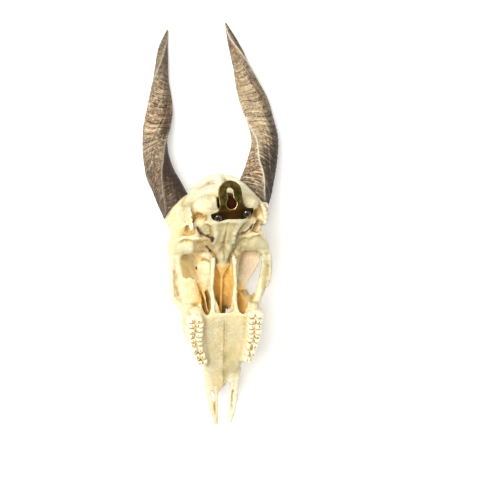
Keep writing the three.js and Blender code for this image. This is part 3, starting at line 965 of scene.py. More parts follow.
@dataclass(frozen=True)
class HornFinish:
    """Dull horn: brown-grey in patches, with tan streaks along it, fine rings across it and pale keels that
    are partly a painted highlight, with black painted shade on the faces turned to the skull's right."""

    dark: Colour = from_srgb(58, 42, 31)
    grey: Colour = from_srgb(134, 118, 98)
    tan: Colour = from_srgb(204, 168, 120)
    brown: Colour = from_srgb(164, 120, 80)
    slate: Colour = from_srgb(104, 93, 80)
    pale: Colour = from_srgb(226, 204, 164)
    edge: Colour = from_srgb(240, 228, 200)
    black: Colour = from_srgb(34, 20, 10)

    def make(self) -> bpy.types.Material:
        """Builds the material on the horn's own coordinates: along it and round it.

        Returns:
            The material.
        """
        sheet = NodeSheet("ringed_horn", self.dark)
        grown = sheet.tree.nodes.new("ShaderNodeUVMap").outputs["UV"]
        rings = sheet.noise(1.0, 4.0, 0.6, (600.0, 2.6, 1.0), grown)
        bands = sheet.noise(1.0, 4.0, 0.6, (150.0, 2.0, 1.0), grown)
        streaks = sheet.noise(1.0, 5.0, 0.65, (12.0, 34.0, 1.0), grown)
        speckle = sheet.noise(420.0)
        ringed, shade = sheet.trait("ringed"), sheet.trait("shade")
        sheet.paint(self.grey, sheet.ramp(sheet.noise(40.0), 0.2, 0.5))
        sheet.paint(self.brown, sheet.ramp(sheet.noise(26.0, 3.0), 0.46, 0.6), 0.45)
        sheet.paint(self.slate, sheet.ramp(sheet.noise(34.0, 3.0), 0.54, 0.66), 0.7)
        sheet.paint(self.pale, sheet.trait("bleach"))
        sheet.paint(self.dark, shade, 0.85)
        sheet.paint(self.tan, sheet.ramp(streaks, 0.5, 0.68), 0.6)
        sheet.paint(self.tan, sheet.ramp(bands, 0.52, 0.7), 0.35)
        sheet.paint(self.pale, sheet.times(ringed, sheet.ramp(rings, 0.53, 0.62)))
        sheet.paint(self.black, sheet.times(ringed, sheet.ramp(rings, 0.48, 0.36)))
        sheet.paint(self.black, sheet.ramp(streaks, 0.47, 0.33), 0.7)
        sheet.paint(self.pale, sheet.ramp(speckle, 0.55, 0.66), 0.65)
        sheet.paint(self.black, sheet.ramp(speckle, 0.45, 0.34), 0.7)
        # Black painted shade on the faces turned to the skull's right.
        sheet.paint(self.black, sheet.trait("stain_and_shade"), 0.88)
        sheet.paint(self.black, sheet.trait("tip"), 0.4)
        # Pale keels: partly paler horn, partly a painted highlight along the edge.
        sheet.paint(self.edge, sheet.trait("keel"), 0.9)
        sheet.paint(self.dark, shade, 0.6)
        waves = sheet.bump(rings, 0.0014, 0.6)
        grain = sheet.bump(streaks, 0.001, 0.4, waves)
        rough = sheet.ramp(sheet.noise(90.0, 3.0), -0.9, 1.3)
        return sheet.finish(rough, grain, Specular_IOR_Level=0.45)


@dataclass(frozen=True)
class BrassFinish:
    """Worn olive brass with fine scratches, with a painted dark reflection towards its bent ears, a painted
    golden reflection in the middle and a painted highlight at the keyhole's rim.
    """

    bright: Colour = from_srgb(158, 140, 74)
    dull: Colour = from_srgb(98, 87, 38)
    brown: Colour = from_srgb(66, 40, 16)
    amber: Colour = from_srgb(150, 98, 36)
    gold: Colour = from_srgb(226, 206, 140)

    def make(self) -> bpy.types.Material:
        """Builds the material from noise and from the mesh's own numbers.

        Returns:
            The material.
        """
        sheet = NodeSheet("olive_brass", self.bright)
        sheet.paint(self.dull, sheet.ramp(sheet.noise(160.0), 0.3, 0.6))
        # Painted reflections: dark towards the bent ears, golden in the middle, and a painted highlight at
        # the keyhole's rim.
        sheet.paint(self.brown, sheet.trait("flange"), 0.85)
        sheet.paint(self.amber, sheet.trait("middle"), 0.5)
        sheet.paint(self.gold, sheet.ramp(sheet.trait("rim"), 0.3, 0.9), 0.5)
        sheet.paint(self.brown, sheet.ramp(sheet.trait("edge"), 0.3, 0.9), 0.75)
        grain = sheet.bump(sheet.noise(1.0, 3.0, 0.6, (300.0, 4000.0, 300.0)), 0.0002, 0.2)
        rough = sheet.ramp(sheet.noise(300.0, 3.0), -0.3, 2.6)
        return sheet.finish(rough, grain, Metallic=1.0)


@dataclass(frozen=True)
class SteelFinish:
    """Darkened steel, with black painted shade in the cross of the head."""

    steel: Colour = from_srgb(104, 99, 92)
    black: Colour = from_srgb(36, 32, 28)

    def make(self) -> bpy.types.Material:
        """Builds the material from noise and from the mesh's own numbers.

        Returns:
            The material.
        """
        sheet = NodeSheet("dark_steel", self.steel)
        sheet.paint(self.black, sheet.ramp(sheet.noise(500.0), 0.45, 0.75))
        sheet.paint(self.black, sheet.ramp(sheet.trait("soot"), 0.1, 0.6))
        grain = sheet.bump(sheet.noise(2500.0, 3.0), 0.0002, 0.25)
        return sheet.finish(0.24, grain, Metallic=1.0)


@dataclass(frozen=True)
class FloorFinish:
    """A pale studio floor."""

    white: Colour = from_srgb(250, 250, 249)
    shade: Colour = from_srgb(246, 246, 245)

    def make(self) -> bpy.types.Material:
        """Builds the material from noise.

        Returns:
            The material.
        """
        sheet = NodeSheet("pale_floor", self.white)
        sheet.paint(self.shade, sheet.noise(6.0, 3.0))
        sheet.shader.inputs["Emission Color"].default_value = (*self.white, 1.0)
        grain = sheet.bump(sheet.noise(400.0, 2.0), 0.0001, 0.05)
        return sheet.finish(0.9, grain, Emission_Strength=0.3)


# The bone, part by part, in the skull's own frame. The steps are worked on both sides alike, and those
# that one_sided gives on one side only.

@dataclass(frozen=True)
class Braincase:
    """The rounded braincase with the forehead, the horn roots and the crest at the nape."""

    centre: Vec = (0.0, 65.0, -58.0)
    radii: Vec = (35.0, 39.0, 36.0)
    forehead_slope: float = -22.0

    def steps(self) -> list[Step]:
        """Gives its shapes.

        Returns:
            The steps in order.
        """
        crest = ((0, 104, -82), (12, 102.5, -81), (22, 97, -75), (32, 87.5, -57), (39, 74, -40))
        return [
            add(Ball(self.centre, self.radii)),
            add(Slab((0, 30, -70), (36, 34, 12), 10, (self.forehead_slope, 0, 0)), 12),
            add(Limb(((22, 52, -74), (31, 66, -82), (36, 74.5, -84.5)), (16, 15.5, 14.6)), 8),
            add(Ball((0, 86, -54), (33, 17.5, 28)), 8),
            add(Limb(crest, (4.4, 4.2, 3.6, 3.8, 4.4)), 9),
            add(Limb(((0, 102, -58), (0, 104, -70), (0, 104.5, -80)), (2, 2.4, 3)), 5),
        ]


@dataclass(frozen=True)
class Snout:
    """The upper jaw's long tapering body with its tooth sockets and the wall between the eyes."""

    def steps(self) -> list[Step]:
        """Gives its shapes.

        Returns:
            The steps in order.
        """
        body = (
            (18, 25, 25, -68, -10), (-2, 31, 22, -64, 0), (-30, 29, 17, -57, 1), (-50, 22, 13.5, -51, 1),
            (-63, 18.5, 12, -48, 0), (-86, 14.3, 9.5, -42, -1), (-99, 12, 7, -38, -3),
        )
        wall = ((62, 20, 24, -72, -26), (30, 15, 23, -72, -15), (-4, 15, 20, -66, -8))
        return [
            add(Hull(body, 4.5), 4),
            add(Limb(((27, 0, -4), (27.5, -18, -2.5), (20, -48, -2)), (7.5, 7, 4.5)), 4),
            add(Ball((30, -12, -13), (7, 16, 12)), 5),
            add(Hull(wall, 4), 5),
        ]


@dataclass(frozen=True)
class EyeSockets:
    """The hollows of the eye, of the temple behind it and of the pocket beside the throat."""

    def steps(self) -> list[Step]:
        """Gives its hollows and the wall in front of them.

        Returns:
            The steps in order.
        """
        return [
            cut(Ball((40, 21, -44), (20, 18, 18)), 3),
            cut(Ball((33, 36, -42), (12, 13, 20)), 4),
            cut(Ball((24, 17, -22), (9, 16, 14), (0, 0, 12)), 3),
            add(Ball((29, -5, -34), (9, 7, 22)), 4),
        ]


@dataclass(frozen=True)
class SkullBase:
    """The knuckles at the neck, the flat bone between them, the ear capsules and the jaw joints."""

    slit_z: float = -23.5
    slits: tuple[tuple[tuple[float, float], ...], ...] = (
        ((25.5, 79.5), (24.7, 76.9), (21.0, 73.3), (17.8, 72.2)),
        ((15.0, 70.2), (10.8, 67.8), (10.6, 71.4)),
        ((14.2, 59.8), (10.8, 55.2)),
    )
    nerves: tuple[tuple[Vec, Vec], ...] = (
        ((-23.3, 34.9, -30.0), (-20.4, 24.6, -50.0)), ((12.4, 36.0, -24.0), (15.5, 27.7, -40.0)),
    )

    def steps(self) -> list[Step]:
        """Gives its shapes and hollows."""
        return self.occiput() + self.plate() + self.ear() + self.jaw_joint() + self.openings()

    def occiput(self) -> list[Step]:
        """Gives the knuckles, the pointed blades beside them and the hollow between the two.

        Returns:
            The steps in order.
        """
        blade = ((36, 90, -35), (36, 90.5, -26), (33.8, 85, -13))
        return [
            add(Ball((17.5, 95.5, -36), (12.5, 8.5, 12)), 5),
            add(Ball((35, 82, -41), (9, 11, 12)), 8),
            add(Limb(((41, 90, -44), (40.5, 80, -36)), (3.5, 2)), 3),
            add(Limb(blade, (6, 5, 1.8), (0.9, 0.4, 0), 2.4), 2.5),
            cut(Ball((26, 87, -29), (7, 4.6, 6), (0, 0, 20)), 2.5),
        ]

    def plate(self) -> list[Step]:
        """Gives the flat wedge in the middle, with a lip across it and a fine groove along it.

        Returns:
            The steps in order.
        """
        wedge = (
            (97, 21, 17, -44, -22), (88, 20, 15, -42, -17.5), (76, 13, 12, -40, -17),
            (60, 10.5, 10, -40, -18.5), (46, 5, 6, -38, -22),
        )
        groove = ((0, 86, -16.9), (0, 76, -16.6), (0, 60, -18.1), (0, 48, -21.2))
        return [
            add(Hull(wedge, 5), 3),
            add(Limb(((0, 88, -18.6), (11, 87, -18.8), (20, 85.5, -22)), (2.4, 2.2, 1.6)), 2),
            add(Limb(((12, 86, -19), (8.4, 76, -17.2), (9, 66, -18.8)), (1.7, 1.5, 1)), 3.5),
            add(Ball((5.2, 60, -20), (3.2, 6, 2.9)), 2),
            cut(Limb(((5.2, 84, -14.9), (3.6, 70, -14.8)), (0.9, 0.7)), 3),
            cut(Limb(groove, (0.7, 1.1, 1.4, 1)), 1),
        ]

    def ear(self) -> list[Step]:
        """Gives the rough ear capsule in its hollow and the ear's own opening beside it.

        Returns:
            The steps in order.
        """
        return [
            cut(Ball((22, 75, -18), (9, 11, 8), (0, 0, -20)), 3),
            add(Slab((19, 79.5, -30), (8.5, 8.5, 7), 4, (8, 12, -15)), 1),
            add(Ball((25, 67, -31), (5, 5, 6)), 3),
            cut(Ball((32, 75, -30), (4.5, 6.5, 6)), 3),
        ]

    def jaw_joint(self) -> list[Step]:
        """Gives the smooth bar that the lower jaw hinges on, with a thin ridge round the back of it.

        Returns:
            The steps in order.
        """
        ridge = (
            (17, 66.5, -27.5), (26, 68.8, -27), (36, 69, -27.6), (42, 65.6, -29.4), (44.6, 57.5, -31.5),
        )
        hinge = ((16, 57, -32.5), (30, 59, -30.5), (43, 56.5, -32))
        return [
            add(Limb(((22, 63, -36), (36, 64, -36), (44, 55, -33)), (7, 7, 6)), 5),
            add(Limb(((40, 74, -39), (43, 62, -34)), (6, 5)), 6),
            add(Limb(hinge, (6.8, 8.2, 7.4), (0, 0, 1), 1.2), 1.5),
            add(Limb(ridge, (0.9, 1.2, 1.4, 1.3, 0.9)), 3),
        ]

    def openings(self) -> list[Step]:
        """Gives the great opening for the spine and the small ones for nerves.

        Returns:
            The steps in order.
        """
        slits = [tuple((x, y, self.slit_z) for x, y in slit) for slit in self.slits]
        return [
            cut(Limb(((0, 114, -21), (0, 95, -37), (0, 78, -47)), (11.5, 9.8, 8)), 2.5),
            *(cut(Limb(slit, (1.1,) * len(slit)), 0.8) for slit in slits),
            cut(Limb(((20, 24.5, -47), (15, 25, -52)), (2, 2)), 1),
        ]


@dataclass(frozen=True)
class CheekArches:
    """The arches outside the temples, with the rims of the eye sockets."""

    outer_x: float = 49.2

    def steps(self) -> list[Step]:
        """Gives its shapes.

        Returns:
            The steps in order.
        """
        x = self.outer_x
        blade = ((28, -14, -12), (33, -4, -17), (38.5, 7, -25), (42, 24, -29), (42.5, 50, -31))
        edge = (
            (30, -13, -9), (35.4, -1, -14), (x - 4.4, 7, -21.5), (x - 3, 19, -25.5), (x - 2.8, 36, -27.5),
            (x - 3.2, 54, -29),
        )
        brow = ((24, 0, -54), (28, 9, -60), (36, 24, -66), (39, 40, -65))
        strut = ((39, 42, -62), (42, 46, -46), (43, 43, -32))
        rim = ((26, 0, -52), (29.5, -6, -42), (32.5, -4, -31), (38.5, 5, -26))
        return [
            add(Limb(blade, (7, 6, 5.5, 5, 5.5), (0.5, 0, 0.87), 1.5), 4),
            add(Limb(edge, (3.6, 3.4, 3.2, 3, 2.7, 3.5)), 3),
            add(Limb(brow, (4, 4, 4.5, 5)), 5),
            add(Limb(strut, (4.5, 3.8, 4), (1, 0, 0), 1.2), 4),
            add(Limb(rim, (4.5, 4.6, 4.4, 4)), 5),
            cut(Limb(((x - 5, 12, -20.4), (x - 4.4, 26, -23.8), (x - 4.6, 36, -25.2)), (0.5, 0.6, 0.5)), 2),
        ]


@dataclass(frozen=True)
class NoseHollow:
    """The passage from the nose to the throat, the vault of the palate and the notch in front of it."""

    passage: tuple[tuple[float, ...], ...] = (
        (44, 8, 7, -22, 8), (30, 9.6, 8, -25.5, 8), (4, 9.5, 9, -29, 8), (0, 9.5, 10, -30, -5),
        (-8, 9.5, 10, -33, -6), (-13, 10, 10, -40, -6), (-30, 14, 11, -50, -7), (-72, 12, 8, -42, -6),
        (-90, 10.5, 6.5, -37.5, -5), (-104, 10, 5, -34, 3),
    )

    def steps(self) -> list[Step]:
        """Gives its hollows, with the clefts in the roof of the snout.

        Returns:
            The steps in order.
        """
        return [
            cut(Hull(self.passage, 3.5), 1.5),
            cut(Ball((0, -26, 4), (17, 40, 7)), 4),
            cut(Slab((0, -112, -14), (30, 30, 19), 6, (14, 0, 0)), 2),
            cut(Slab((0, -101, 0), (5.2, 19, 9), 3), 2),
            cut(Limb(((10.1, -17.2, -40), (15.6, -34.1, -70)), (2.6, 2.6)), 1),
        ]


@dataclass(frozen=True)
class Muzzle:
    """The two prongs in front of the palate and the tips of the nasal bones."""

    tip_y: float = -121.0

    def steps(self) -> list[Step]:
        """Gives its shapes.

        Returns:
            The steps in order.
        """
        prong = ((13.8, -66, -7), (12.4, -88, -4.5), (10, -106, -1), (7, self.tip_y + 2, 1))
        inner = ((6.8, self.tip_y + 6, 1), (6.4, -104, 0), (6.4, -92, -1.5), (7, -80, -3))
        return [
            add(Limb(prong, (4, 3.4, 2.8, 2.1), (0, 0, 1), 0.85), 3),
            add(Limb(inner, (1.9, 1.6, 1.5, 2)), 2),
            add(Limb(((12.5, -96, -5), (13.2, -86, -17), (11.5, -72, -34)), (2.6, 2.5, 3.2)), 3),
            add(Limb(((5.5, -70, -46), (4.8, -98, -39)), (4, 3), (0, 0, 1), 1.3), 3),
            cut(Limb(((9.8, -84, 0), (9, -96, 1), (7.8, -108, 2.4)), (0.9, 1, 0.6)), 1),
        ]

    def one_sided(self) -> list[Step]:
        """Gives the longer splint on the left of the notch, the broken edge and the slot beside it.

        Returns:
            The steps in order.
        """
        slot = ((-12.6, -82.5), (-11.4, -81.8), (-9.6, -88), (-8.9, -95.5), (-10, -96), (-11.3, -90))
        return [
            cut(Shaft(slot, 0.0, (-30.0, 6.0)), 0.6),
            add(Limb(((-4.6, -72, -3.4), (-3.8, -84, -2.6)), (2.6, 1.9), (0, 0, 1), 1.4), 1),
            cut(Slab((3.6, -84, 0), (3.4, 8.4, 8), 1.5, (0, 0, -4)), 0.8),
        ]


@dataclass(frozen=True)
class Throat:
    """The thin plates beside the throat opening, their wings and the septum of the nose."""

    def steps(self) -> list[Step]:
        """Gives its shapes on both sides.

        Returns:
            The steps in order.
        """
        return [
            add(Limb(((9.9, 12, -10), (11.2, 25, -11.5), (9.4, 52, -14)), (1.4, 1.3, 1.8)), 1.5),
            add(Slab((10.6, 28, -21), (1.3, 24, 9), 0.8, (0, 0, 1.5)), 1.5),
            add(Ball((11, -3, -9), (5.5, 8, 4)), 3),
            cut(Ball((16.5, 8, -14), (5, 13, 15)), 1.2),
            cut(Limb(((40, 44, -33), (26, 44.5, -29.5), (15, 44, -24)), (5, 4.6, 2.6)), 3),
            add(Limb(((0, 52, -20), (0, 42, -21), (0, 31, -24)), (6, 4.6, 2)), 3),
            add(Limb(((0, 34, -22), (0, 10, -24.5), (0, -12, -26)), (1.3, 1, 1)), 1.5),
            add(Limb(((0, 31, -21.8), (4.8, 43, -19)), (1.1, 1.4)), 1.5),
            add(Slab((0, -10, -34), (0.9, 46, 12), 0.6, (-8, 0, 0)), 1.5),
        ]

    def one_sided(self) -> list[Step]:
        """Gives the front of the plates, which close in on the midline more on the left.

        Returns:
            The steps in order.
        """
        left = ((-6.2, -6, -6.5), (-8.3, 3, -8), (-9.9, 12, -10))
        right = ((8.6, -6, -6.5), (9, 3, -8.5), (9.7, 12, -10))
        wing = ((-15.6, 36, -24.5), (-15.8, 26, -24.5), (-16.6, 13, -25))
        return [
            add(Limb(wing, (8.6, 6.2, 1.4), (-0.67, 0, 0.74), 2.6), 3),
            add(Slab((-15.8, 5, -22), (0.8, 8, 9), 0.5, (0, 0, 10)), 1),
            cut(Ball((17.6, 4, -14), (5.6, 10.5, 14)), 1.5),
            add(Limb(left, (4.8, 3.2, 1.6)), 1.5),
            add(Slab((-6.4, 4, -16), (1.2, 10, 9), 0.8, (0, 0, 22)), 1.5),
            add(Limb(right, (2.8, 2, 1.4)), 1.5),
            add(Slab((9, 4, -16), (1.2, 10, 9), 0.8, (0, 0, -4)), 1.5),
        ]


class Bone(Enum):
    """The bones that the skull is parted into, by the names of the frame's nodes."""

    CRANIUM = "cranium"
    FACE = "face"
    CHEEK_ARCH_LEFT = "cheek_arch_left"
    CHEEK_ARCH_RIGHT = "cheek_arch_right"
    PREMAXILLA_LEFT = "premaxilla_left"
    PREMAXILLA_RIGHT = "premaxilla_right"


@dataclass(frozen=True)
class BoneTones:
    """The numbers that the bone's finish reads at each point: wear with painted highlights, painted shade
    and dirt in crevices, painted amber shade, olive, rosy, and painted dark shade in openings, with the
    regions where these differ from the rest of the bone."""

    throat: Patch = Patch(
        out=((13.0, 9.5),), y=((48.0, 38.0), (-34.0, -18.0)), z=((-8.0, -16.0), (-52.0, -44.0)),
    )
    orbit: Patch = Patch(
        out=((17.0, 22.0), (40.0, 30.0)), y=((56.0, 46.0), (2.0, 16.0)), z=((-25.0, -33.0), (-66.0, -46.0)),
    )
    recess: Patch = Patch(
        out=((11.0, 13.0), (25.0, 22.0)), y=((20.0, 12.0), (-9.0, -5.0)), z=((-9.0, -14.0), (-38.0, -31.0)),
    )
    facet: Patch = Patch(out=((12.0, 15.0), (30.0, 22.0)), z=((-20.0, -25.0),))
    crest: Patch = Patch(y=((92.0, 104.0),), z=((-44.0, -54.0),))
    muzzle: Patch = Patch(x=((3.0, 6.0),), y=((-62.0, -72.0),), z=((-14.0, -8.0),))
    palate: Patch = Patch(out=((22.0, 14.0),), y=((6.0, -22.0), (-78.0, -58.0)), z=((-10.0, -6.0),))
    stain_and_shade: Patch = Patch(x=((-4.0, 1.0), (15.0, 9.0)), y=((-32.0, -44.0),))
    joint: Patch = Patch(y=((51.0, 55.0), (68.5, 66.5)), z=((-31.0, -27.0),))
    plate: Patch = Patch(y=((42.0, 48.0),), z=((-28.0, -22.0),))
    arch: Patch = Patch(x=((-4.0, 4.0),), out=((36.0, 40.0),), y=((0.0, 12.0), (56.0, 46.0)))
    middle: Patch = Patch(y=((-5.0, -9.0), (-84.0, -78.0)), z=((-10.0, -6.0),))
    groove: Patch = Patch(y=((47.0, 51.0), (79.0, 75.0)), z=((-30.0, -26.0),))
    spine: Patch = Patch(y=((110.0, 104.0), (60.0, 70.0)))
    left: Patch = Patch(x=((4.0, -4.0),))
    right: Patch = Patch(x=((-4.0, 4.0),))
    spine_at: Vec = (2.6, 95.0, -37.0)
    spine_way: Vec = (0.0, 18.0, 13.0)

    def traits(self, surface: Surface, grid: Grid, values: Array) -> dict[str, Array]:
        """Works out all numbers for a mesh, from its relief, its hollows and the regions.

        Args:
            surface: The mesh in the skull's frame.
            grid: The field's grid.
            values: The field.

        Returns:
            Numbers from 0 to 1 by name.
        """
        points = surface.points
        near, close, wide, far = closures(surface, grid, values, (1.5, 4.0, 10.0, 22.0))
        fine, broad = surface.relief(4), surface.relief(40)
        throat, orbit, recess = (patch.share(points) for patch in (self.throat, self.orbit, self.recess))
        # White: wear on sharp edges and painted highlights on broad bulges; the crest and the right of the
        # muzzle are whiter still.
        worn = np.clip(2.4 * fine + 0.12 * broad, 0.0, 1.0)
        worn *= 1.0 - 0.8 * np.clip(throat + orbit + recess, 0.0, 1.0)
        worn = np.maximum(worn, 0.75 * self.crest.share(points))
        worn = np.maximum(worn, 0.8 * self.muzzle.share(points))
        # Deep places take painted warm amber shade.
        deep = np.clip(0.5 * wide + 0.7 * far - 0.3, 0.0, 1.0)
        # Crevice: painted shade and dirt where the bone closes in and in hollows of the relief, less in the
        # throat, plus the dark lines.
        crevice = np.clip(0.7 * near + 0.6 * close - 4.0 * fine - 0.35 * broad - 0.2, 0.0, 1.0)
        crevice = crevice * (1.0 - 0.6 * throat) + self.lines(points, surface.normals())
        return {
            "crevice": np.clip(crevice, 0.0, 1.0),
            "amber": self.amber(points, deep),
            "olive": self.olive(points),
            "worn": worn,
            # Painted shade in the slits, the openings for the spine and nerves, and the groove of the base.
            "soot": np.maximum(self.slits(points), 0.4 * self.grooved(points)),
            "rosy": np.clip(0.8 * orbit * self.right.share(points), 0.0, 1.0),
        }

    def amber(self, points: Array, deep: Array) -> Array:
        """Gives the amber of deep places, most in the throat, its pockets and the ear's hollows: painted
        warm shade, strongest where the bone closes round a point.

        Args:
            points: Points in the skull's frame.
            deep: How deep in hollows they lie.

        Returns:
            Numbers from 0 to 1.
        """
        out, y, z = np.abs(points[:, 0]), points[:, 1], points[:, 2]
        ear = bell(out - 32.0, 5.0) * bell(y - 76.0, 7.0) + bell(out - 26.0, 6.0) * bell(y - 87.0, 4.5)
        total = deep * (0.15 + 0.3 * eased(40.0, -10.0, y))
        total += 0.9 * self.throat.share(points) + 0.7 * self.recess.share(points)
        total += 0.5 * self.orbit.share(points) * self.left.share(points)
        total += 0.5 * ear * eased(-46.0, -36.0, z)
        total += 0.5 * self.facet.share(points) * bell(y - 44.0, 4.0)
        return np.clip(total, 0.0, 0.92)

    def inside(self, points: Array) -> Array:
        """Gives the inner end of the left jaw joint, from 0 to 1."""
        return eased(28.5, 26.0, np.abs(points[:, 0])) * self.left.share(points)

    def hinge(self, points: Array) -> Array:
        """Gives the smooth face of the jaw joints, most on the right and at the left one's inner end.

        Args:
            points: Points in the skull's frame.

        Returns:
            Numbers from 0 to 1.3.
        """
        # The left joint's inner end takes more olive, as painted shade.
        left = 0.4 + 0.9 * self.inside(points)
        right = 1.3 - 0.4 * eased(20.0, 34.0, np.abs(points[:, 0]))
        return self.joint.share(points) * np.where(points[:, 0] < 0.0, left, right)

    def olive(self, points: Array) -> Array:
        """Gives the olive of smooth faces: palate, right arch, joints, base plate, ear and left nape.

        Args:
            points: Points in the skull's frame.

        Returns:
            Numbers from 0 to 1.
        """
        x, out, y, z = points[:, 0], np.abs(points[:, 0]), points[:, 1], points[:, 2]
        palate = self.palate.share(points) * (0.5 + 0.6 * self.stain_and_shade.share(points))
        total = palate * (0.75 + 0.45 * lumps(points, 9.0, 7))
        total += 0.65 * self.arch.share(points) + 0.8 * self.hinge(points)
        total += 0.9 * self.plate.share(points) * eased(21.0, 15.0, out + 0.3 * (76.0 - y))
        total += 0.8 * bell(out - 19.0, 8.0) * bell(y - 79.0, 8.0) * eased(-36.0, -28.0, z)
        total += 0.25 * self.orbit.share(points) * self.left.share(points)
        total += 0.5 * bell(x + 39.0, 7.0) * bell(y - 90.0, 8.0)
        return np.clip(total, 0.0, 1.0)

    def grooved(self, points: Array) -> Array:
        """Gives the fine groove along the base plate, from 0 to 1."""
        return bell(points[:, 0] - 0.4, 0.7) * self.groove.share(points)

    def lines(self, points: Array, normals: Array) -> Array:
        """Gives the dark lines of the palate's seam and the groove of the base, and painted shade at the
        left joint's inner end.

        Args:
            points: Points in the skull's frame.
            normals: Their normals.

        Returns:
            Numbers from 0 up.
        """
        across = points[:, 0] - 0.2 * np.sin(0.35 * points[:, 1])
        seam = bell(across, 0.7) + 0.4 * bell(across - 2.2, 0.5)
        middle = self.middle.share(points) * eased(0.3, 0.7, normals[:, 2])
        end = self.hinge(points) * self.inside(points)
        return 1.2 * seam * middle + 1.2 * self.grooved(points) + 0.4 * end

    def slits(self, points: Array) -> Array:
        """Gives the painted shade in the slits round the ear capsule, which is plainest on the left, in the
        opening for the spine and in those for nerves.

        Args:
            points: Points in the skull's frame.

        Returns:
            Numbers from 0 to 1.
        """
        out, y = np.abs(points[:, 0]), points[:, 1]
        base = SkullBase()
        dark = np.zeros(len(points))
        for number, slit in enumerate(base.slits):
            path = np.array((*slit, *slit[-2:0:-1]))
            spread = np.maximum(1.3 + 1.1 * lumps(points, 2.6, 20 + number), 0.05)
            near = np.clip(1.45 - np.maximum(outline_distance(out, y, path), 0.0) / spread, 0.0, 1.0)
            strength = 1.0 if number == 0 else np.where(points[:, 0] < 0.0, 1.0, 0.35)
            dark = np.maximum(dark, near * strength)
        axis = np.array(self.spine_way) / np.linalg.norm(self.spine_way)
        around = np.linalg.norm(np.cross(points - np.array(self.spine_at), axis), axis=1)
        spine = eased(13.2, 11.4, around) * self.spine.share(points)
        dark = np.maximum(dark * eased(-34.0, -29.0, points[:, 2]), spine)
        for start, stop in base.nerves:
            bar = np.array(stop) - np.array(start)
            off = points - np.array(start)
            along = np.clip(off @ bar / (bar @ bar), 0.0, 1.0)
            dark = np.maximum(dark, eased(2.4, 1.6, np.linalg.norm(off - along[:, None] * bar, axis=1)))
        return dark


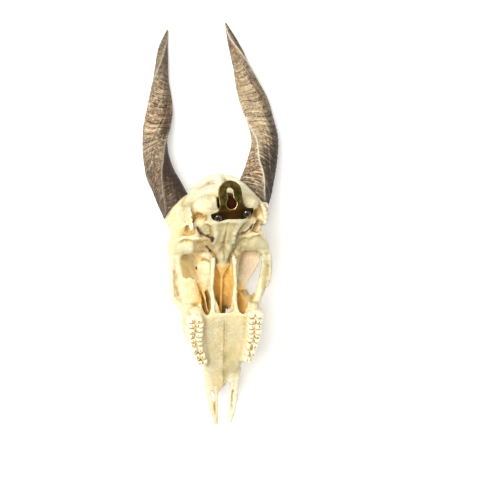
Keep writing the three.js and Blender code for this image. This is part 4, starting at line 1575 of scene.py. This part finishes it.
@dataclass
class SkullBone:
    """The whole bone: its field, the sutures that part it, and its meshes."""

    pitch: float = 0.8
    low: Vec = (-58.0, -126.0, -108.0)
    high: Vec = (58.0, 114.0, 10.0)
    overlap: float = 1.4
    dip: float = 0.3
    lean: float = 5.0
    lean_from: float = 60.0
    lean_to: float = 98.0
    face_suture: Vec = (-10.0, -66.0, math.radians(41.0))
    arch_x: float = 37.0
    arch_y: tuple[float, float] = (-4.0, 43.0)
    arch_z: float = -37.0
    muzzle_y: float = -84.0
    muzzle_z: float = -33.0
    rugged: Patch = Patch(
        out=((7.0, 12.0), (27.0, 20.0)), y=((44.0, 50.0), (80.0, 70.0)), z=((-34.0, -27.0),),
    )
    crumbly: Patch = Patch(out=((10.0, 16.0),), y=((66.0, 71.0),), z=((-50.0, -36.0),))

    def steps(self) -> list[Step]:
        """Gives all bones and hollows in the order in which they are worked on both sides.

        Returns:
            The steps in order.
        """
        parts = (
            Braincase(), Snout(), EyeSockets(), SkullBase(),
            CheekArches(), NoseHollow(), Muzzle(), Throat(),
        )
        return [step for part in parts for step in part.steps()]

    def one_sided(self) -> list[Step]:
        """Gives what differs from side to side: the wider jaw, the thin-walled swelling behind the last
        molar and the bar beside it on the left, and what is chipped or broken away on the right.

        Returns:
            The steps in order.
        """
        swelling = ((-24.5, -9, -17.5), (-29, 8, -22.5), (-32.5, 22, -25.5))
        inner = (
            (-41.7, 49.6, -27), (-40.3, 38, -27), (-37.6, 27, -25), (-36, 20, -22.4), (-36.6, 12, -20.6),
        )
        jaw = ((-33.6, 2, -14), (-33.9, -18, -12), (-29.2, -32, -11), (-24, -43, -10))
        valley = ((-23, 29, -27), (-20.8, 19, -26), (-18.4, 8, -24))
        hook = ((41, 91, -38), (40.8, 84, -32), (39.4, 77.4, -29))
        beyond_ear = (
            (40.1, 104), (40.1, 96.2), (41.9, 85.1), (42.4, 79), (40.4, 75.1), (36.9, 76.7), (37.8, 71.4),
            (41.4, 64.8), (46.1, 55.6), (48, 47.7), (62, 47.7), (62, 104),
        )
        beyond_cheek = (
            (49.5, 22), (48, 15.2), (42, 4.8), (39.8, -1.6), (37.8, -10.2), (36.6, -17.8), (36.6, -24),
            (60, -24), (60, 22),
        )
        gap = (
            (37.6, 42), (24.5, 18.3), (23, 15.8), (25.4, 13), (29.5, 4.1), (34.6, 15), (36.1, 19.2),
            (38.2, 38.8),
        )
        return [
            cut(Ball((-30, 41, -37), (11, 10, 11)), 3),
            add(Limb(jaw, (4, 4.6, 4.2, 3)), 5),
            add(Limb(swelling, (8.5, 10, 8.5), (0.1, 0.2, 0.97), 1.6), 5),
            add(Limb(inner, (1.5, 1.4, 1.4, 1.4, 0.8)), 3.5),
            cut(Limb(valley, (1.3, 1.4, 1.6)), 2),
            add(Slab((26, 33, -37), (13, 24.5, 2.4), 2, (-22, 0, 0)), 5),
            add(Ball((-11.4, 100, -36), (3.2, 5, 7)), 2),
            cut(Shaft(gap, -25.0, (-80.0, -16.0)), 1.5),
            *(cut(Limb(nerve, (1.5, 1.2)), 0.8) for nerve in SkullBase().nerves),
            add(Limb(hook, (4, 3.4, 2.4)), 2),
            cut(Limb(((36.2, 86, -27), (36.6, 79, -26)), (1.4, 1.4)), 1.5),
            cut(Shaft(beyond_ear, -30.0, (-76.0, -4.0), (0.223, -0.483)), 7),
            cut(Shaft(beyond_cheek, -27.0, (-76.0, -2.0), (0.207, -0.547)), 5),
            *Throat().one_sided(),
            *Muzzle().one_sided(),
            cut(Shaft(((1.0, -4.6), (8.6, 3.6), (8.4, -6.8)), -12.0, (-110.0, -9.0)), 0.6),
        ]

    def sample(self) -> tuple[Grid, Array]:
        """Works the field on one half, mirrors it and adds what is on one side only.

        Returns:
            The whole grid and its distances.
        """
        count = math.ceil(self.high[0] / self.pitch)
        edge = count * self.pitch
        short = 1e-6
        high = np.array((edge - short, *self.high[1:]))
        whole = Grid(np.array((-edge, *self.low[1:])), high, self.pitch)
        half = Grid(np.array((0.0, *self.low[1:])), high, self.pitch)
        values = work_field(half, self.steps())
        values = np.concatenate([values[:0:-1], values])
        return whole, work_field(whole, self.one_sided(), values)

    def regions(self, axes: Axes) -> dict[Bone, Array]:
        """Gives each bone's room as a distance: planes and boxes whose faces wander as sutures do.

        Args:
            axes: Open grid of x, y and z.

        Returns:
            A distance for each bone, negative in its room.
        """
        x, y, z = axes
        wander = 0.7 * np.sin(1.1 * x) + 0.5 * np.sin(2.3 * x + 1.0) + 0.6 * np.sin(0.9 * z)
        at_y, at_z, angle = self.face_suture
        behind = (y - at_y) * math.cos(angle) - (z - at_z) * math.sin(angle) + wander
        rooms: dict[Bone, Array] = {}
        others: Array | float = np.inf
        ripple = 0.6 * np.sin(1.4 * z) + 0.5 * np.sin(2.1 * x)
        for side, arch, prong in (
            (-1.0, Bone.CHEEK_ARCH_LEFT, Bone.PREMAXILLA_LEFT),
            (1.0, Bone.CHEEK_ARCH_RIGHT, Bone.PREMAXILLA_RIGHT),
        ):
            span = np.maximum(self.arch_y[0] - y + ripple, y - self.arch_y[1] + ripple)
            rooms[arch] = np.maximum(np.maximum(self.arch_x - side * x, self.arch_z - z), span)
            front = y - self.muzzle_y + 0.6 * np.sin(1.2 * x) + 0.5 * np.sin(1.3 * z)
            rooms[prong] = np.maximum(np.maximum(front, self.muzzle_z - z), -side * x)
            others = np.minimum(others, np.minimum(rooms[arch], rooms[prong]))
        rooms[Bone.FACE] = np.maximum(behind, -others)
        rooms[Bone.CRANIUM] = np.maximum(-behind, -others)
        return rooms

    def swell(self, surface: Surface) -> Array:
        """Gives the unevenness of the bone: low swellings everywhere, crumbly at the ear and the nape.

        Args:
            surface: The mesh in the skull's frame.

        Returns:
            Heights in millimetres.
        """
        points = surface.points
        x, out, y, z = points[:, 0], np.abs(points[:, 0]), points[:, 1], points[:, 2]
        low = 0.35 * lumps(points, 7.0, 3) + 0.26 * lumps(points, 2.6, 4)
        rugged = self.rugged.share(points) * (1.2 + 0.8 * eased(-4.0, 4.0, x))
        ragged = bell(out - 35.0, 6.0) * bell(y - 88.0, 8.0) * eased(-34.0, -20.0, z)
        rough = self.crumbly.share(points) + 2.0 * ragged + rugged
        return low + rough * (0.55 * lumps(points, 2.4, 5) + 0.3 * lumps(points, 1.3, 6))

    def build(self, finish: bpy.types.Material) -> None:
        """Makes one closed mesh for each bone and puts it in the frame.

        Past its edge a bone dips a little under its neighbour, so that they meet without a gap.

        Args:
            finish: The bone's finish.
        """
        grid, values = self.sample()
        tones = BoneTones()
        for bone, room in self.regions(grid.axes()).items():
            own = np.maximum(values + self.dip * eased(0.0, self.overlap, room), room - self.overlap)
            surface = surface_nets(own, grid.low, grid.pitch).largest()
            surface.relax(1, 0.3)
            surface.traits = tones.traits(surface, grid, values)
            surface.points += surface.normals() * self.swell(surface)[:, None]
            surface.points[:, 0] += self.lean * eased(self.lean_from, self.lean_to, surface.points[:, 1])
            surface.points = FRAME.to_part(surface.points)
            surface.points[:, 2] = np.maximum(surface.points[:, 2], 0.0)
            piece = make_object(f"{bone.value}_bone", surface, finish)
            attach(piece, ROOT)
            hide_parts(bone.value)


# Teeth

@dataclass(frozen=True)
class Tooth:
    """One cheek tooth: where it sits along its row, its length and its lobes."""

    share: float
    length: float
    lobes: int


@dataclass
class ToothRow:
    """One row of cheek teeth: crowns of paired cusps with valleys and pits between them."""

    side: Side
    back: tuple[float, float] = (27.5, 3.0)
    front: tuple[float, float] = (20.5, -48.0)
    bow: float = 2.5
    widths: tuple[float, float] = (13.0, 8.5)
    root_z: float = -3.0
    tip_z: float = 10.0
    pitch: float = 0.42
    unevenness: float = 0.7
    slimness: float = 0.52
    cusp_out: float = 0.25
    cusp_shares: tuple[float, float] = (0.21, 0.29)
    foot_share: float = 0.29
    pit_out: float = 0.22
    bed_share: float = 0.2
    room_before: Vec = (9.0, 7.0, 5.0)
    room_past: Vec = (13.0, 7.0, 3.0)
    teeth: tuple[Tooth, ...] = (
        Tooth(0.09, 11.0, 2), Tooth(0.30, 10.6, 2), Tooth(0.50, 9.4, 2),
        Tooth(0.67, 7.6, 1), Tooth(0.815, 7.2, 1), Tooth(0.95, 6.4, 1),
    )

    def centre(self, share: float) -> tuple[float, float]:
        """Gives the middle of the row at a share of its length, bowed outwards like half a sine."""
        x = self.back[0] + share * (self.front[0] - self.back[0]) + self.bow * math.sin(math.pi * share)
        return x, self.back[1] + share * (self.front[1] - self.back[1])

    def crown(self, tooth: Tooth, chance: np.random.Generator) -> list[Step]:
        """Gives one tooth's shapes, each a little off its even place as worn teeth are.

        Args:
            tooth: The tooth.
            chance: Source of the unevenness.

        Returns:
            Its cusps, its valleys and its pits.
        """
        x, y = self.centre(tooth.share)
        width = self.widths[0] + tooth.share * (self.widths[1] - self.widths[0])
        lean = -8.0 - 10.0 * tooth.share
        lobe = tooth.length / tooth.lobes
        slim = self.slimness * width / lobe
        steps: list[Step] = []
        for n in range(tooth.lobes):
            at = y + tooth.length / 2.0 - (n + 0.5) * lobe
            for inward, top in ((-1.0, self.tip_z - 1.0), (1.0, self.tip_z)):
                off = chance.uniform(-self.unevenness, self.unevenness, 3)
                thick = width * chance.uniform(*self.cusp_shares)
                cx = x + inward * self.cusp_out * width + off[0]
                foot = (cx + inward * 0.6, at, self.root_z)
                cusp = (cx, at + off[1], top + off[2] - 2.4)
                crest = (cx - inward * 0.5, at + off[1], top + off[2])
                radii = (self.foot_share * width, thick, 0.4 * thick)
                steps.append(add(Limb((foot, cusp, crest), radii, (0, 1, 0), slim), 0.6))
                pit = (x + inward * self.pit_out * width + off[2], at - off[0], self.tip_z + 0.3 + off[1])
                turn = (0, 0, lean + 60.0 * off[1])
                steps.append(cut(Ball(pit, (0.5, 0.24 * lobe, 1.6), turn), 0.4))
            bed = self.tip_z - 3.4 - self.bed_share * width
            ends = ((x, at + 0.3 * lobe, bed), (x, at - 0.3 * lobe, bed))
            steps.append(add(Limb(ends, (self.bed_share * width,) * 2), 1.0))
            valley = (x + chance.uniform(-0.5, 0.5), at, self.tip_z + 1.7)
            steps.append(cut(Ball(valley, (0.8, 0.3 * lobe, 2.8), (0, 0, lean)), 0.8))
        return steps

    def build(self, finish: bpy.types.Material) -> None:
        """Makes the row's mesh and puts it in the frame.

        Args:
            finish: The teeth's finish.
        """
        left = self.side is Side.LEFT
        chance = np.random.default_rng(31 if left else 32)
        steps = [step for tooth in self.teeth for step in self.crown(tooth, chance)]
        low = np.array((*self.front, self.root_z)) - np.array(self.room_before)
        high = np.array((*self.back, self.tip_z)) + np.array(self.room_past)
        grid = Grid(low, high, self.pitch)
        values = work_field(grid, steps)
        surface = surface_nets(values, grid.low, grid.pitch)
        near, wide = closures(surface, grid, values, (0.8, 2.0))
        neck = eased(self.root_z + 8.0, self.root_z + 4.0, surface.points[:, 2])
        # Painted shade in the valleys between cusps and darker towards the root; the darkest valleys get
        # the dark number.
        crevice = np.clip(near + 0.8 * wide - 0.3, 0.0, 1.0)
        surface.traits = {
            "crevice": np.clip(crevice + 0.5 * neck, 0.0, 1.0),
            "soot": np.clip(near * wide * 1.4 - 1.8, 0.0, 0.6),
        }
        surface.points = FRAME.to_part(surface.points * np.array((self.side.value, 1.0, 1.0)))
        if left:
            surface.quads = surface.quads[:, ::-1]
        piece = make_object(self.side.named("tooth_row"), surface, finish)
        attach(piece, ROOT)


# Horns

def smooth_path(points: Array, count: int) -> Array:
    """Carries a smooth curve through points, each stretch a cubic whose slopes allow for the distances
    between the points, so that it doesn't loop.

    Args:
        points: Points as rows; columns past the third are carried along.
        count: How many points to give.

    Returns:
        Points at even steps, with the same time for each stretch.
    """
    ends = np.vstack([2.0 * points[0] - points[1], points, 2.0 * points[-1] - points[-2]])
    gaps = np.sqrt(np.linalg.norm(np.diff(ends[:, :3], axis=0), axis=1))
    place = np.linspace(0.0, len(points) - 1.0, count)
    n = np.minimum(place.astype(int), len(points) - 2)
    t = (place - n)[:, None]
    p0, p1, p2, p3 = (ends[n + i] for i in range(4))
    d0, d1, d2 = (gaps[n + i][:, None] for i in range(3))
    leave = ((p1 - p0) / d0 - (p2 - p0) / (d0 + d1) + (p2 - p1) / d1) * d1
    arrive = ((p2 - p1) / d1 - (p3 - p1) / (d1 + d2) + (p3 - p2) / d2) * d1
    bend = -3.0 * p1 + 3.0 * p2 - 2.0 * leave - arrive
    twist = 2.0 * p1 - 2.0 * p2 + leave + arrive
    return p1 + leave * t + bend * t**2 + twist * t**3


@dataclass
class Horn:
    """One horn: a ring with two sharp keels that turns as it is carried along the horn's core line."""

    side: Side
    path: tuple[Vec, ...]
    turn_deg: tuple[float, ...]
    radii: tuple[float, ...]
    slant: float = 0.38
    slant_until: float = 0.55
    core_share: float = 0.94
    thinnest: float = 0.4
    keel_heights: tuple[float, float] = (0.3, 0.24)
    keel_width: float = 0.4
    ring_gap: float = 4.4
    ring_height: float = 0.22
    ring_bow: float = 4.0
    ripple_gap: float = 1.9
    ripple_height: float = 0.14
    groove_height: float = 0.25
    wear_height: float = 0.3
    girth: float = 6.0
    along: int = 420
    around: int = 128
    turn_soft: int = 30

    def build(self, finish: bpy.types.Material) -> None:
        """Makes the horn's mesh and puts it in the frame.

        A ring's radius is the core's times a share plus h e^(-a / w), with a the angle from a keel.
        Near the root the rings slant: their inner side lies further along the horn than their outer one.
        Growth rings are low waves along the horn, as strong as its tones say.

        Args:
            finish: The horn's finish.
        """
        rows = smooth_path(np.column_stack([np.array(self.path), np.array(self.radii)]), self.along)
        core = rows[:, :3] + np.array((FRAME.origin[0], FRAME.origin[1], 0.0))
        radius = np.maximum(rows[:, 3], self.thinnest)
        t = np.linspace(0.0, 1.0, self.along)
        ahead = np.gradient(core, axis=0)
        ahead /= np.linalg.norm(ahead, axis=1, keepdims=True)
        inward = np.array((-self.side.value, 0.0, 0.0))
        medial = inward - ahead * (ahead @ inward)[:, None]
        medial /= np.linalg.norm(medial, axis=1, keepdims=True)
        up = np.cross(medial, ahead) * -self.side.value
        angle = np.linspace(0.0, 2.0 * math.pi, self.around, endpoint=False)
        off = np.minimum(angle, 2.0 * math.pi - angle)
        first = np.exp(-off / self.keel_width)
        second = np.exp(-(math.pi - off) / self.keel_width)
        shape = self.core_share + self.keel_heights[0] * first + self.keel_heights[1] * second
        turn = np.interp(t, np.linspace(0.0, 1.0, len(self.turn_deg)), np.radians(self.turn_deg))
        spread = np.hanning(2 * self.turn_soft + 1)
        padded = np.pad(turn, self.turn_soft, "reflect", reflect_type="odd")
        turn = np.convolve(padded, spread / spread.sum(), "valid")
        keel = turn[:, None] + angle[None, :]
        length = np.concatenate([[0.0], np.cumsum(np.linalg.norm(np.diff(core, axis=0), axis=1))])
        u, v = np.meshgrid(length, angle, indexing="ij")
        r = radius[:, None] * shape[None, :] + self.growth(u, v, t)
        points = core[:, None, :] + r[..., None] * (
            np.cos(keel)[..., None] * medial[:, None, :] + np.sin(keel)[..., None] * up[:, None, :]
        )
        leading = self.slant * eased(self.slant_until, 0.0, t)[:, None] * r * np.cos(keel)
        points += leading[..., None] * ahead[:, None, :]
        points[..., 2] = np.maximum(points[..., 2], 0.0)
        # Painted shade: faces turned to the skull's right are darkened, less past the middle and on faces
        # turned fully sideways.
        beside = np.roll(points, -1, axis=1) - np.roll(points, 1, axis=1)
        facing = np.cross(np.gradient(points, axis=0), beside)
        facing /= np.maximum(np.linalg.norm(facing, axis=2, keepdims=True), 1e-9)
        outward = np.sign(np.sum(facing * (points - core[:, None, :]), axis=2))
        sideways = facing[..., 0] * outward
        stain_and_shade = eased(-0.05, 0.5, sideways) * (1.0 - 0.45 * eased(0.42, 0.62, t)[:, None])
        stain_and_shade *= 1.0 - 0.3 * eased(0.8, 1.0, sideways)
        # The ridge is the pale line along the keel's edge, partly a painted highlight.
        ridge = np.maximum(first, second)[None, :] ** (0.75 * radius[:, None])
        self.place(points, u + 5.0 * np.sin(v) ** 2, v, t, ridge, stain_and_shade, finish)

    def tones(self, t: Array) -> dict[str, Array]:
        """Gives what changes along the horn: the left one is smooth and dark at its root, and the right
        one is ringed and paler past its middle.

        Args:
            t: Share of the horn's length.

        Returns:
            Numbers from 0 to 1 by name.
        """
        left = self.side is Side.LEFT
        ringed = 0.5 + 0.5 * eased(0.75, 0.4, t)
        if left:
            ringed = 0.35 + 0.5 * eased(0.34, 0.48, t) * eased(0.75, 0.6, t)
        return {
            "ringed": ringed,
            "tip": eased(0.5 if left else 0.72, 0.9, t),
            "shade": eased(0.55, 0.0, t) if left else 0.4 * eased(0.12, 0.0, t),
            "bleach": (0.05 if left else 0.3) * eased(0.32, 0.45, t) * eased(0.85, 0.65, t),
        }

    def growth(self, u: Array, v: Array, t: Array) -> Array:
        """Gives the height of growth rings, which bow between the keels, and of long grooves.

        Args:
            u: Distance along the horn.
            v: Angle round it.
            t: Share of the horn's length.

        Returns:
            Heights in millimetres.
        """
        flat = np.column_stack([u.ravel(), self.girth * np.cos(v).ravel(), self.girth * np.sin(v).ravel()])
        sway = lumps(flat * (0.12, 1.0, 1.0), 2.0, 11).reshape(u.shape)
        strong = (self.tones(t)["ringed"] * eased(0.8, 0.35, t) * eased(-0.04, 0.06, t))[:, None]
        bowed = u + self.ring_bow * np.sin(v) ** 2
        waves = self.ring_height * np.sin(2.0 * math.pi * (bowed / self.ring_gap + 0.45 * sway))
        ripples = self.ripple_height * np.sin(2.0 * math.pi * (bowed / self.ripple_gap + sway))
        grooves = self.groove_height * lumps(flat * (0.03, 1.4, 1.4), 1.2, 12).reshape(u.shape)
        wear = self.wear_height * lumps(flat * (0.15, 0.6, 0.6), 2.0, 13).reshape(u.shape)
        thin = eased(1.0, 0.85, t)[:, None]
        return ((waves + ripples) * strong + grooves + wear) * thin

    def place(self, points: Array, u: Array, v: Array, t: Array, ridge: Array, stain_and_shade: Array,
              finish: bpy.types.Material) -> None:
        """Closes the rings into a mesh, gives it coordinates along and round it, and puts it in the frame.

        Args:
            points: Points by ring and place round it.
            u: Distance along the horn.
            v: Angle round it.
            t: Share of the horn's length by ring.
            ridge: Keel, 1 along its edge.
            stain_and_shade: Painted shade, strongest on the faces turned to the skull's right.
            finish: The horn's finish.
        """
        left = self.side is Side.LEFT
        name = self.side.named("horn")
        places = self.around
        quads = grid_quads(self.along, places, True)
        surface = Surface(points.reshape(-1, 3), quads[:, ::-1] if left else quads)
        root = np.arange(places)
        tip = (self.along - 1) * places + root
        surface.caps = [root.tolist(), tip[::-1].tolist()] if left else [root[::-1].tolist(), tip.tolist()]
        surface.traits = {
            "keel": (ridge * (0.45 if left else 1.0)).ravel(),
            "stain_and_shade": stain_and_shade.ravel(),
            **{key: np.repeat(tone, places) for key, tone in self.tones(t).items()},
        }
        piece = make_object(f"{name}_sheath", surface, finish)
        corner = np.empty(len(piece.data.loops), np.int32)
        piece.data.loops.foreach_get("vertex_index", corner)
        grown = np.column_stack([u.ravel()[corner] * MM, np.sin(v.ravel()[corner]) * 0.5 + 0.5])
        layer = piece.data.uv_layers.new(name="grown")
        layer.data.foreach_set("uv", grown.astype(np.float32).ravel())
        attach(piece, ROOT)
        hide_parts(name)


# The hanger

@dataclass(frozen=True)
class HangerFrame:
    """Where the hanger's sheet lies in the part's frame: at a point, turned in its plane and tilted."""

    at: Vec = (FRAME.origin[0] + 5.9, FRAME.origin[1] + 111.7, 110.0)
    tilt: float = math.radians(5.0)
    turn: float = math.radians(5.5)
    bend_from: float = -11.0
    bend_to: float = -18.0
    bend: float = math.radians(28.0)

    def bent(self, points: Array) -> Array:
        """Bends flat points: past a line the sheet turns down along an arc and then runs straight.

        The direction falls evenly from 0 to the whole bend between the two lines, so the place along
        the sheet is the sum of cosines and sines of that angle up to there.

        Args:
            points: Points as rows: across the sheet, along it, and above its lower face.

        Returns:
            The bent points in the hanger's axes.
        """
        past = np.clip(self.bend_from - points[:, 1], 0.0, None)
        span = self.bend_from - self.bend_to
        arc = np.minimum(past, span)
        angle = self.bend * arc / span
        rate = self.bend / span
        rest = past - arc
        y = np.minimum(points[:, 1], self.bend_from) + past
        y = y - np.sin(angle) / rate - rest * np.cos(angle)
        z = -(1.0 - np.cos(angle)) / rate - rest * np.sin(angle)
        y = np.where(past > 0.0, y, points[:, 1])
        return np.column_stack([
            points[:, 0], y - points[:, 2] * np.sin(angle), z + points[:, 2] * np.cos(angle),
        ])

    def to_part(self, points: Array) -> Array:
        """Takes points of the hanger's axes into the part's frame.

        Args:
            points: Points as rows.

        Returns:
            The points in the part's frame.
        """
        c, s = math.cos(self.turn), math.sin(self.turn)
        flat = np.array([[c, -s, 0.0], [s, c, 0.0], [0.0, 0.0, 1.0]])
        return points @ (rotation_x(self.tilt) @ flat).T + np.array(self.at)


HANGER = HangerFrame()


@dataclass(frozen=True)
class HangerPlate:
    """A pressed brass sheet: a round tab with a keyhole, flaring into two winged ears bent down."""

    radius: float = 11.0
    thickness: float = 1.6
    rounding: float = 0.5
    rim_width: float = 1.1
    pitch: float = 0.32
    slot_y: float = 2.0
    slot_radius: float = 2.5
    hole_y: float = -10.3
    hole_radius: float = 4.8
    screw_at: tuple[float, float] = (13.4, -21.2)
    wing: tuple[tuple[float, float], ...] = (
        (11.0, -3.0), (10.9, -8.0), (11.1, -11.5), (12.2, -14.2), (14.6, -16.0), (19.6, -16.8),
        (20.1, -18.4), (19.3, -21.4), (17.2, -23.6), (12.4, -26.0), (6.4, -27.8), (0.0, -28.4),
    )
    low: tuple[float, float] = (-22.0, -30.5)
    high: tuple[float, float] = (22.0, 12.5)

    def outline(self) -> Array:
        """Gives the outline: half a circle and both wings.

        Returns:
            Corners as rows.
        """
        angle = np.linspace(math.pi, 0.0, 24)
        top = self.radius * np.column_stack([np.cos(angle), np.sin(angle)])
        right = np.array(self.wing)
        left = right[-2::-1] * np.array((-1.0, 1.0))
        return np.concatenate([top, right, left])

    def build(self, finish: bpy.types.Material) -> None:
        """Makes the sheet's mesh from its outline and thickness, bends it and puts it in the frame.

        The sheet is where the larger of the outline's distance and the distance from the middle plane,
        rounded at the edges, is below zero.

        Args:
            finish: The hanger's finish.
        """
        half = self.thickness / 2.0
        low, high = np.array((*self.low, -1.0)), np.array((*self.high, self.thickness + 1.0))
        grid = Grid(low, high, self.pitch)
        x, y, z = grid.axes()
        outer = outline_distance(x, y, self.outline())
        slot = np.hypot(x, np.clip(y, self.hole_y, self.slot_y) - y) - self.slot_radius
        hole = np.hypot(x, y - self.hole_y) - self.hole_radius
        keyhole = smooth_min(slot, hole, 1.2)
        flat = np.maximum(outer, -keyhole) + self.rounding
        level = np.abs(z - half) - half + self.rounding
        outside = np.hypot(np.maximum(flat, 0.0), np.maximum(level, 0.0))
        values = outside + np.minimum(np.maximum(flat, level), 0.0) - self.rounding
        surface = surface_nets(values, grid.low, grid.pitch)
        surface.relax(2, 0.4)
        points = surface.points
        # The flange and middle numbers place painted reflections, and the rim number a painted highlight
        # round the keyhole.
        flange = eased(-7.0, -17.0, points[:, 1])
        surface.traits = {"flange": flange, "middle": flange * bell(points[:, 0], 6.0)}
        for key, distance in (("rim", keyhole), ("edge", outer)):
            off = np.abs(sampled(np.broadcast_to(distance, values.shape), grid, points))
            surface.traits[key] = np.clip(1.0 - off / self.rim_width, 0.0, 1.0)
        surface.points = HANGER.to_part(HANGER.bent(points))
        piece = make_object("hanger_plate_brass", surface, finish)
        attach(piece, ROOT)
        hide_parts("hanger_plate")


@dataclass(frozen=True)
class HangerScrew:
    """A domed screw with a cross in its head."""

    side: Side
    at: tuple[float, float] = HangerPlate().screw_at
    head: float = 3.6
    height: float = 2.0
    shank: float = 1.6
    length: float = 12.0
    cross_deg: float = 25.0
    lift: float = 0.05
    pitch: float = 0.22

    def build(self, finish: bpy.types.Material) -> None:
        """Makes the screw's mesh and puts it in the frame.

        Args:
            finish: The screw's finish.
        """
        cross = (0, 0, self.cross_deg)
        steps = [
            add(Ball((0, 0, 0), (self.head, self.head, self.height)), 0.4),
            cut(Slab((0, 0, -3.0), (5, 5, 3.0), 0.2), 0.3),
            add(Limb(((0, 0, 0.4), (0, 0, -self.length + 2.0)), (self.shank, self.shank * 0.6)), 0.4),
            cut(Slab((0, 0, 2.2), (2.0, 0.42, 1.3), 0.1, cross), 0.2),
            cut(Slab((0, 0, 2.2), (0.42, 2.0, 1.3), 0.1, cross), 0.2),
        ]
        reach = self.head + 1.0
        grid = Grid(np.array((-reach, -reach, -self.length)), np.array((reach, reach, 3.0)), self.pitch)
        values = work_field(grid, steps)
        surface = surface_nets(values, grid.low, grid.pitch).largest()
        # Painted shade in the cross of the head, where the steel closes in.
        surface.traits = {"soot": closures(surface, grid, values, (0.6,))[0]}
        seat = HangerPlate().thickness + self.lift
        foot = np.array((self.side.value * self.at[0], self.at[1], seat))
        surface.points = HANGER.to_part(HANGER.bent(surface.points + foot))
        name = self.side.named("hanger_screw")
        piece = make_object(f"{name}_steel", surface, finish)
        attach(piece, ROOT)
        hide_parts(name)


# Lights, floor and camera

def aimed(at: Vec, target: Vec, up: Vec) -> Matrix:
    """Gives the place of a camera or a light that looks at a point: its z points back from there.

    Args:
        at: Where it is, in metres.
        target: The point.
        up: What is up in its view.

    Returns:
        Its matrix.
    """
    back = np.array(at) - np.array(target)
    back /= np.linalg.norm(back)
    right = np.cross(up, back)
    right /= np.linalg.norm(right)
    matrix = np.eye(4)
    matrix[:3] = np.column_stack([right, np.cross(back, right), back, at])
    return Matrix(matrix.tolist())


@dataclass(frozen=True)
class Studio:
    """A pale floor, soft lights and the camera above it."""

    camera_at: Vec = (-0.16529, -0.04323, 1.1)
    look_at: Vec = (0.0273, -0.02022, 0.0)
    roll: float = math.radians(-3.418)
    focal_pixels: float = 1108.9
    frame_pixels: float = 480.0
    sensor: float = 36.0
    lit: Vec = (0.0, 0.0, 0.05)
    warm: Colour = (1.0, 0.98, 0.95)
    air: float = 0.3
    floor_half: float = 4000.0
    floor_lines: int = 9

    def camera(self) -> None:
        """Makes the camera and makes it the scene's."""
        data = bpy.data.cameras.new("photo_camera")
        data.sensor_width = self.sensor
        data.lens = self.focal_pixels / self.frame_pixels * self.sensor
        obj = bpy.data.objects.new("photo_camera", data)
        up = (-math.sin(self.roll), math.cos(self.roll), 0.0)
        obj.matrix_world = aimed(self.camera_at, self.look_at, up)
        bpy.context.scene.collection.objects.link(obj)
        bpy.context.scene.camera = obj

    def light(self, name: str, at: Vec, size: float, power: float) -> None:
        """Makes a square soft light that faces the skull.

        Args:
            name: Its name.
            at: Where it hangs, in metres.
            size: Its side in metres.
            power: Its power in watts.
        """
        data = bpy.data.lights.new(name, "AREA")
        data.size = size
        data.energy = power
        data.color = self.warm
        obj = bpy.data.objects.new(name, data)
        obj.matrix_world = aimed(at, self.lit, (0.0, 1.0, 0.0))
        bpy.context.scene.collection.objects.link(obj)

    def floor(self, finish: bpy.types.Material) -> None:
        """Lays the floor: a square grid that the skull rests on.

        Args:
            finish: The floor's finish.
        """
        line = np.linspace(-self.floor_half, self.floor_half, self.floor_lines)
        x, y = np.meshgrid(line, line, indexing="ij")
        points = np.stack([x, y, np.zeros_like(x)], -1).reshape(-1, 3)
        quads = grid_quads(self.floor_lines, self.floor_lines, False)[:, ::-1]
        obj = make_object("studio_floor", Surface(points, quads), finish)

    def build(self) -> None:
        """Sets up the whole studio."""
        scene = bpy.context.scene
        scene.view_settings.view_transform = "Standard"
        world = bpy.data.worlds.new("studio_air")
        scene.world = world
        world.use_nodes = True
        air = world.node_tree.nodes["Background"]
        air.inputs["Color"].default_value = (1.0, 1.0, 1.0, 1.0)
        air.inputs["Strength"].default_value = self.air
        self.light("key_light", (-0.6, 0.15, 1.3), 0.8, 27.0)
        self.light("fill_light", (0.9, -0.5, 1.0), 1.2, 4.0)
        self.floor(FloorFinish().make())
        self.camera()


# Core lines of the horns in millimetres from the skull's origin, with heights above the floor
LEFT_HORN: tuple[Vec, ...] = (
    (-35, 105, 37), (-43, 126, 31.5), (-48.6, 142.4, 27), (-50.1, 172.6, 18.2),
    (-43.2, 202.6, 12.8), (-39.6, 232.9, 8.8), (-35.4, 263.5, 5.2), (-29.5, 284, 3),
)
RIGHT_HORN: tuple[Vec, ...] = (
    (39.5, 109, 37), (46.8, 124.9, 31.5), (51.8, 137.9, 27), (59.7, 168.3, 18.5),
    (54.9, 199.2, 13.6), (45.8, 230.4, 9.6), (37.8, 261.6, 5.8), (29.6, 289.7, 3),
)
# Degrees from the midline to the first keel, at even steps from root to tip
LEFT_TURN = (138, 118, 101, 78, 49, 11, -6, -28, -86, -116, -140)
RIGHT_TURN = (122, 107, 92, 75, 53, 28, 1, -22, -58, -108, -150)
# Radii in millimetres at the points of the core lines
LEFT_RADII = (16.3, 15.4, 14.2, 11.9, 10.6, 8, 5.1, 0.9)
RIGHT_RADII = (18.2, 17.4, 16, 13.8, 12.6, 9.3, 6.5, 1.1)


def main() -> None:
    """Builds the skull around the frame."""
    logging.basicConfig(level=logging.INFO, format="%(message)s")
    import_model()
    Studio().build()
    SkullBone().build(BoneFinish().make())
    enamel = EnamelFinish().make()
    ToothRow(Side.LEFT, back=(28.8, 3.0), front=(21.2, -48.0), bow=3.4, widths=(15.6, 10.0)).build(enamel)
    ToothRow(Side.RIGHT, widths=(13.8, 9.2)).build(enamel)
    horn = HornFinish().make()
    Horn(Side.LEFT, LEFT_HORN, LEFT_TURN, LEFT_RADII).build(horn)
    Horn(Side.RIGHT, RIGHT_HORN, RIGHT_TURN, RIGHT_RADII).build(horn)
    HangerPlate().build(BrassFinish().make())
    steel = SteelFinish().make()
    for side in Side:
        HangerScrew(side).build(steel)


if __name__ == "__main__":
    main()
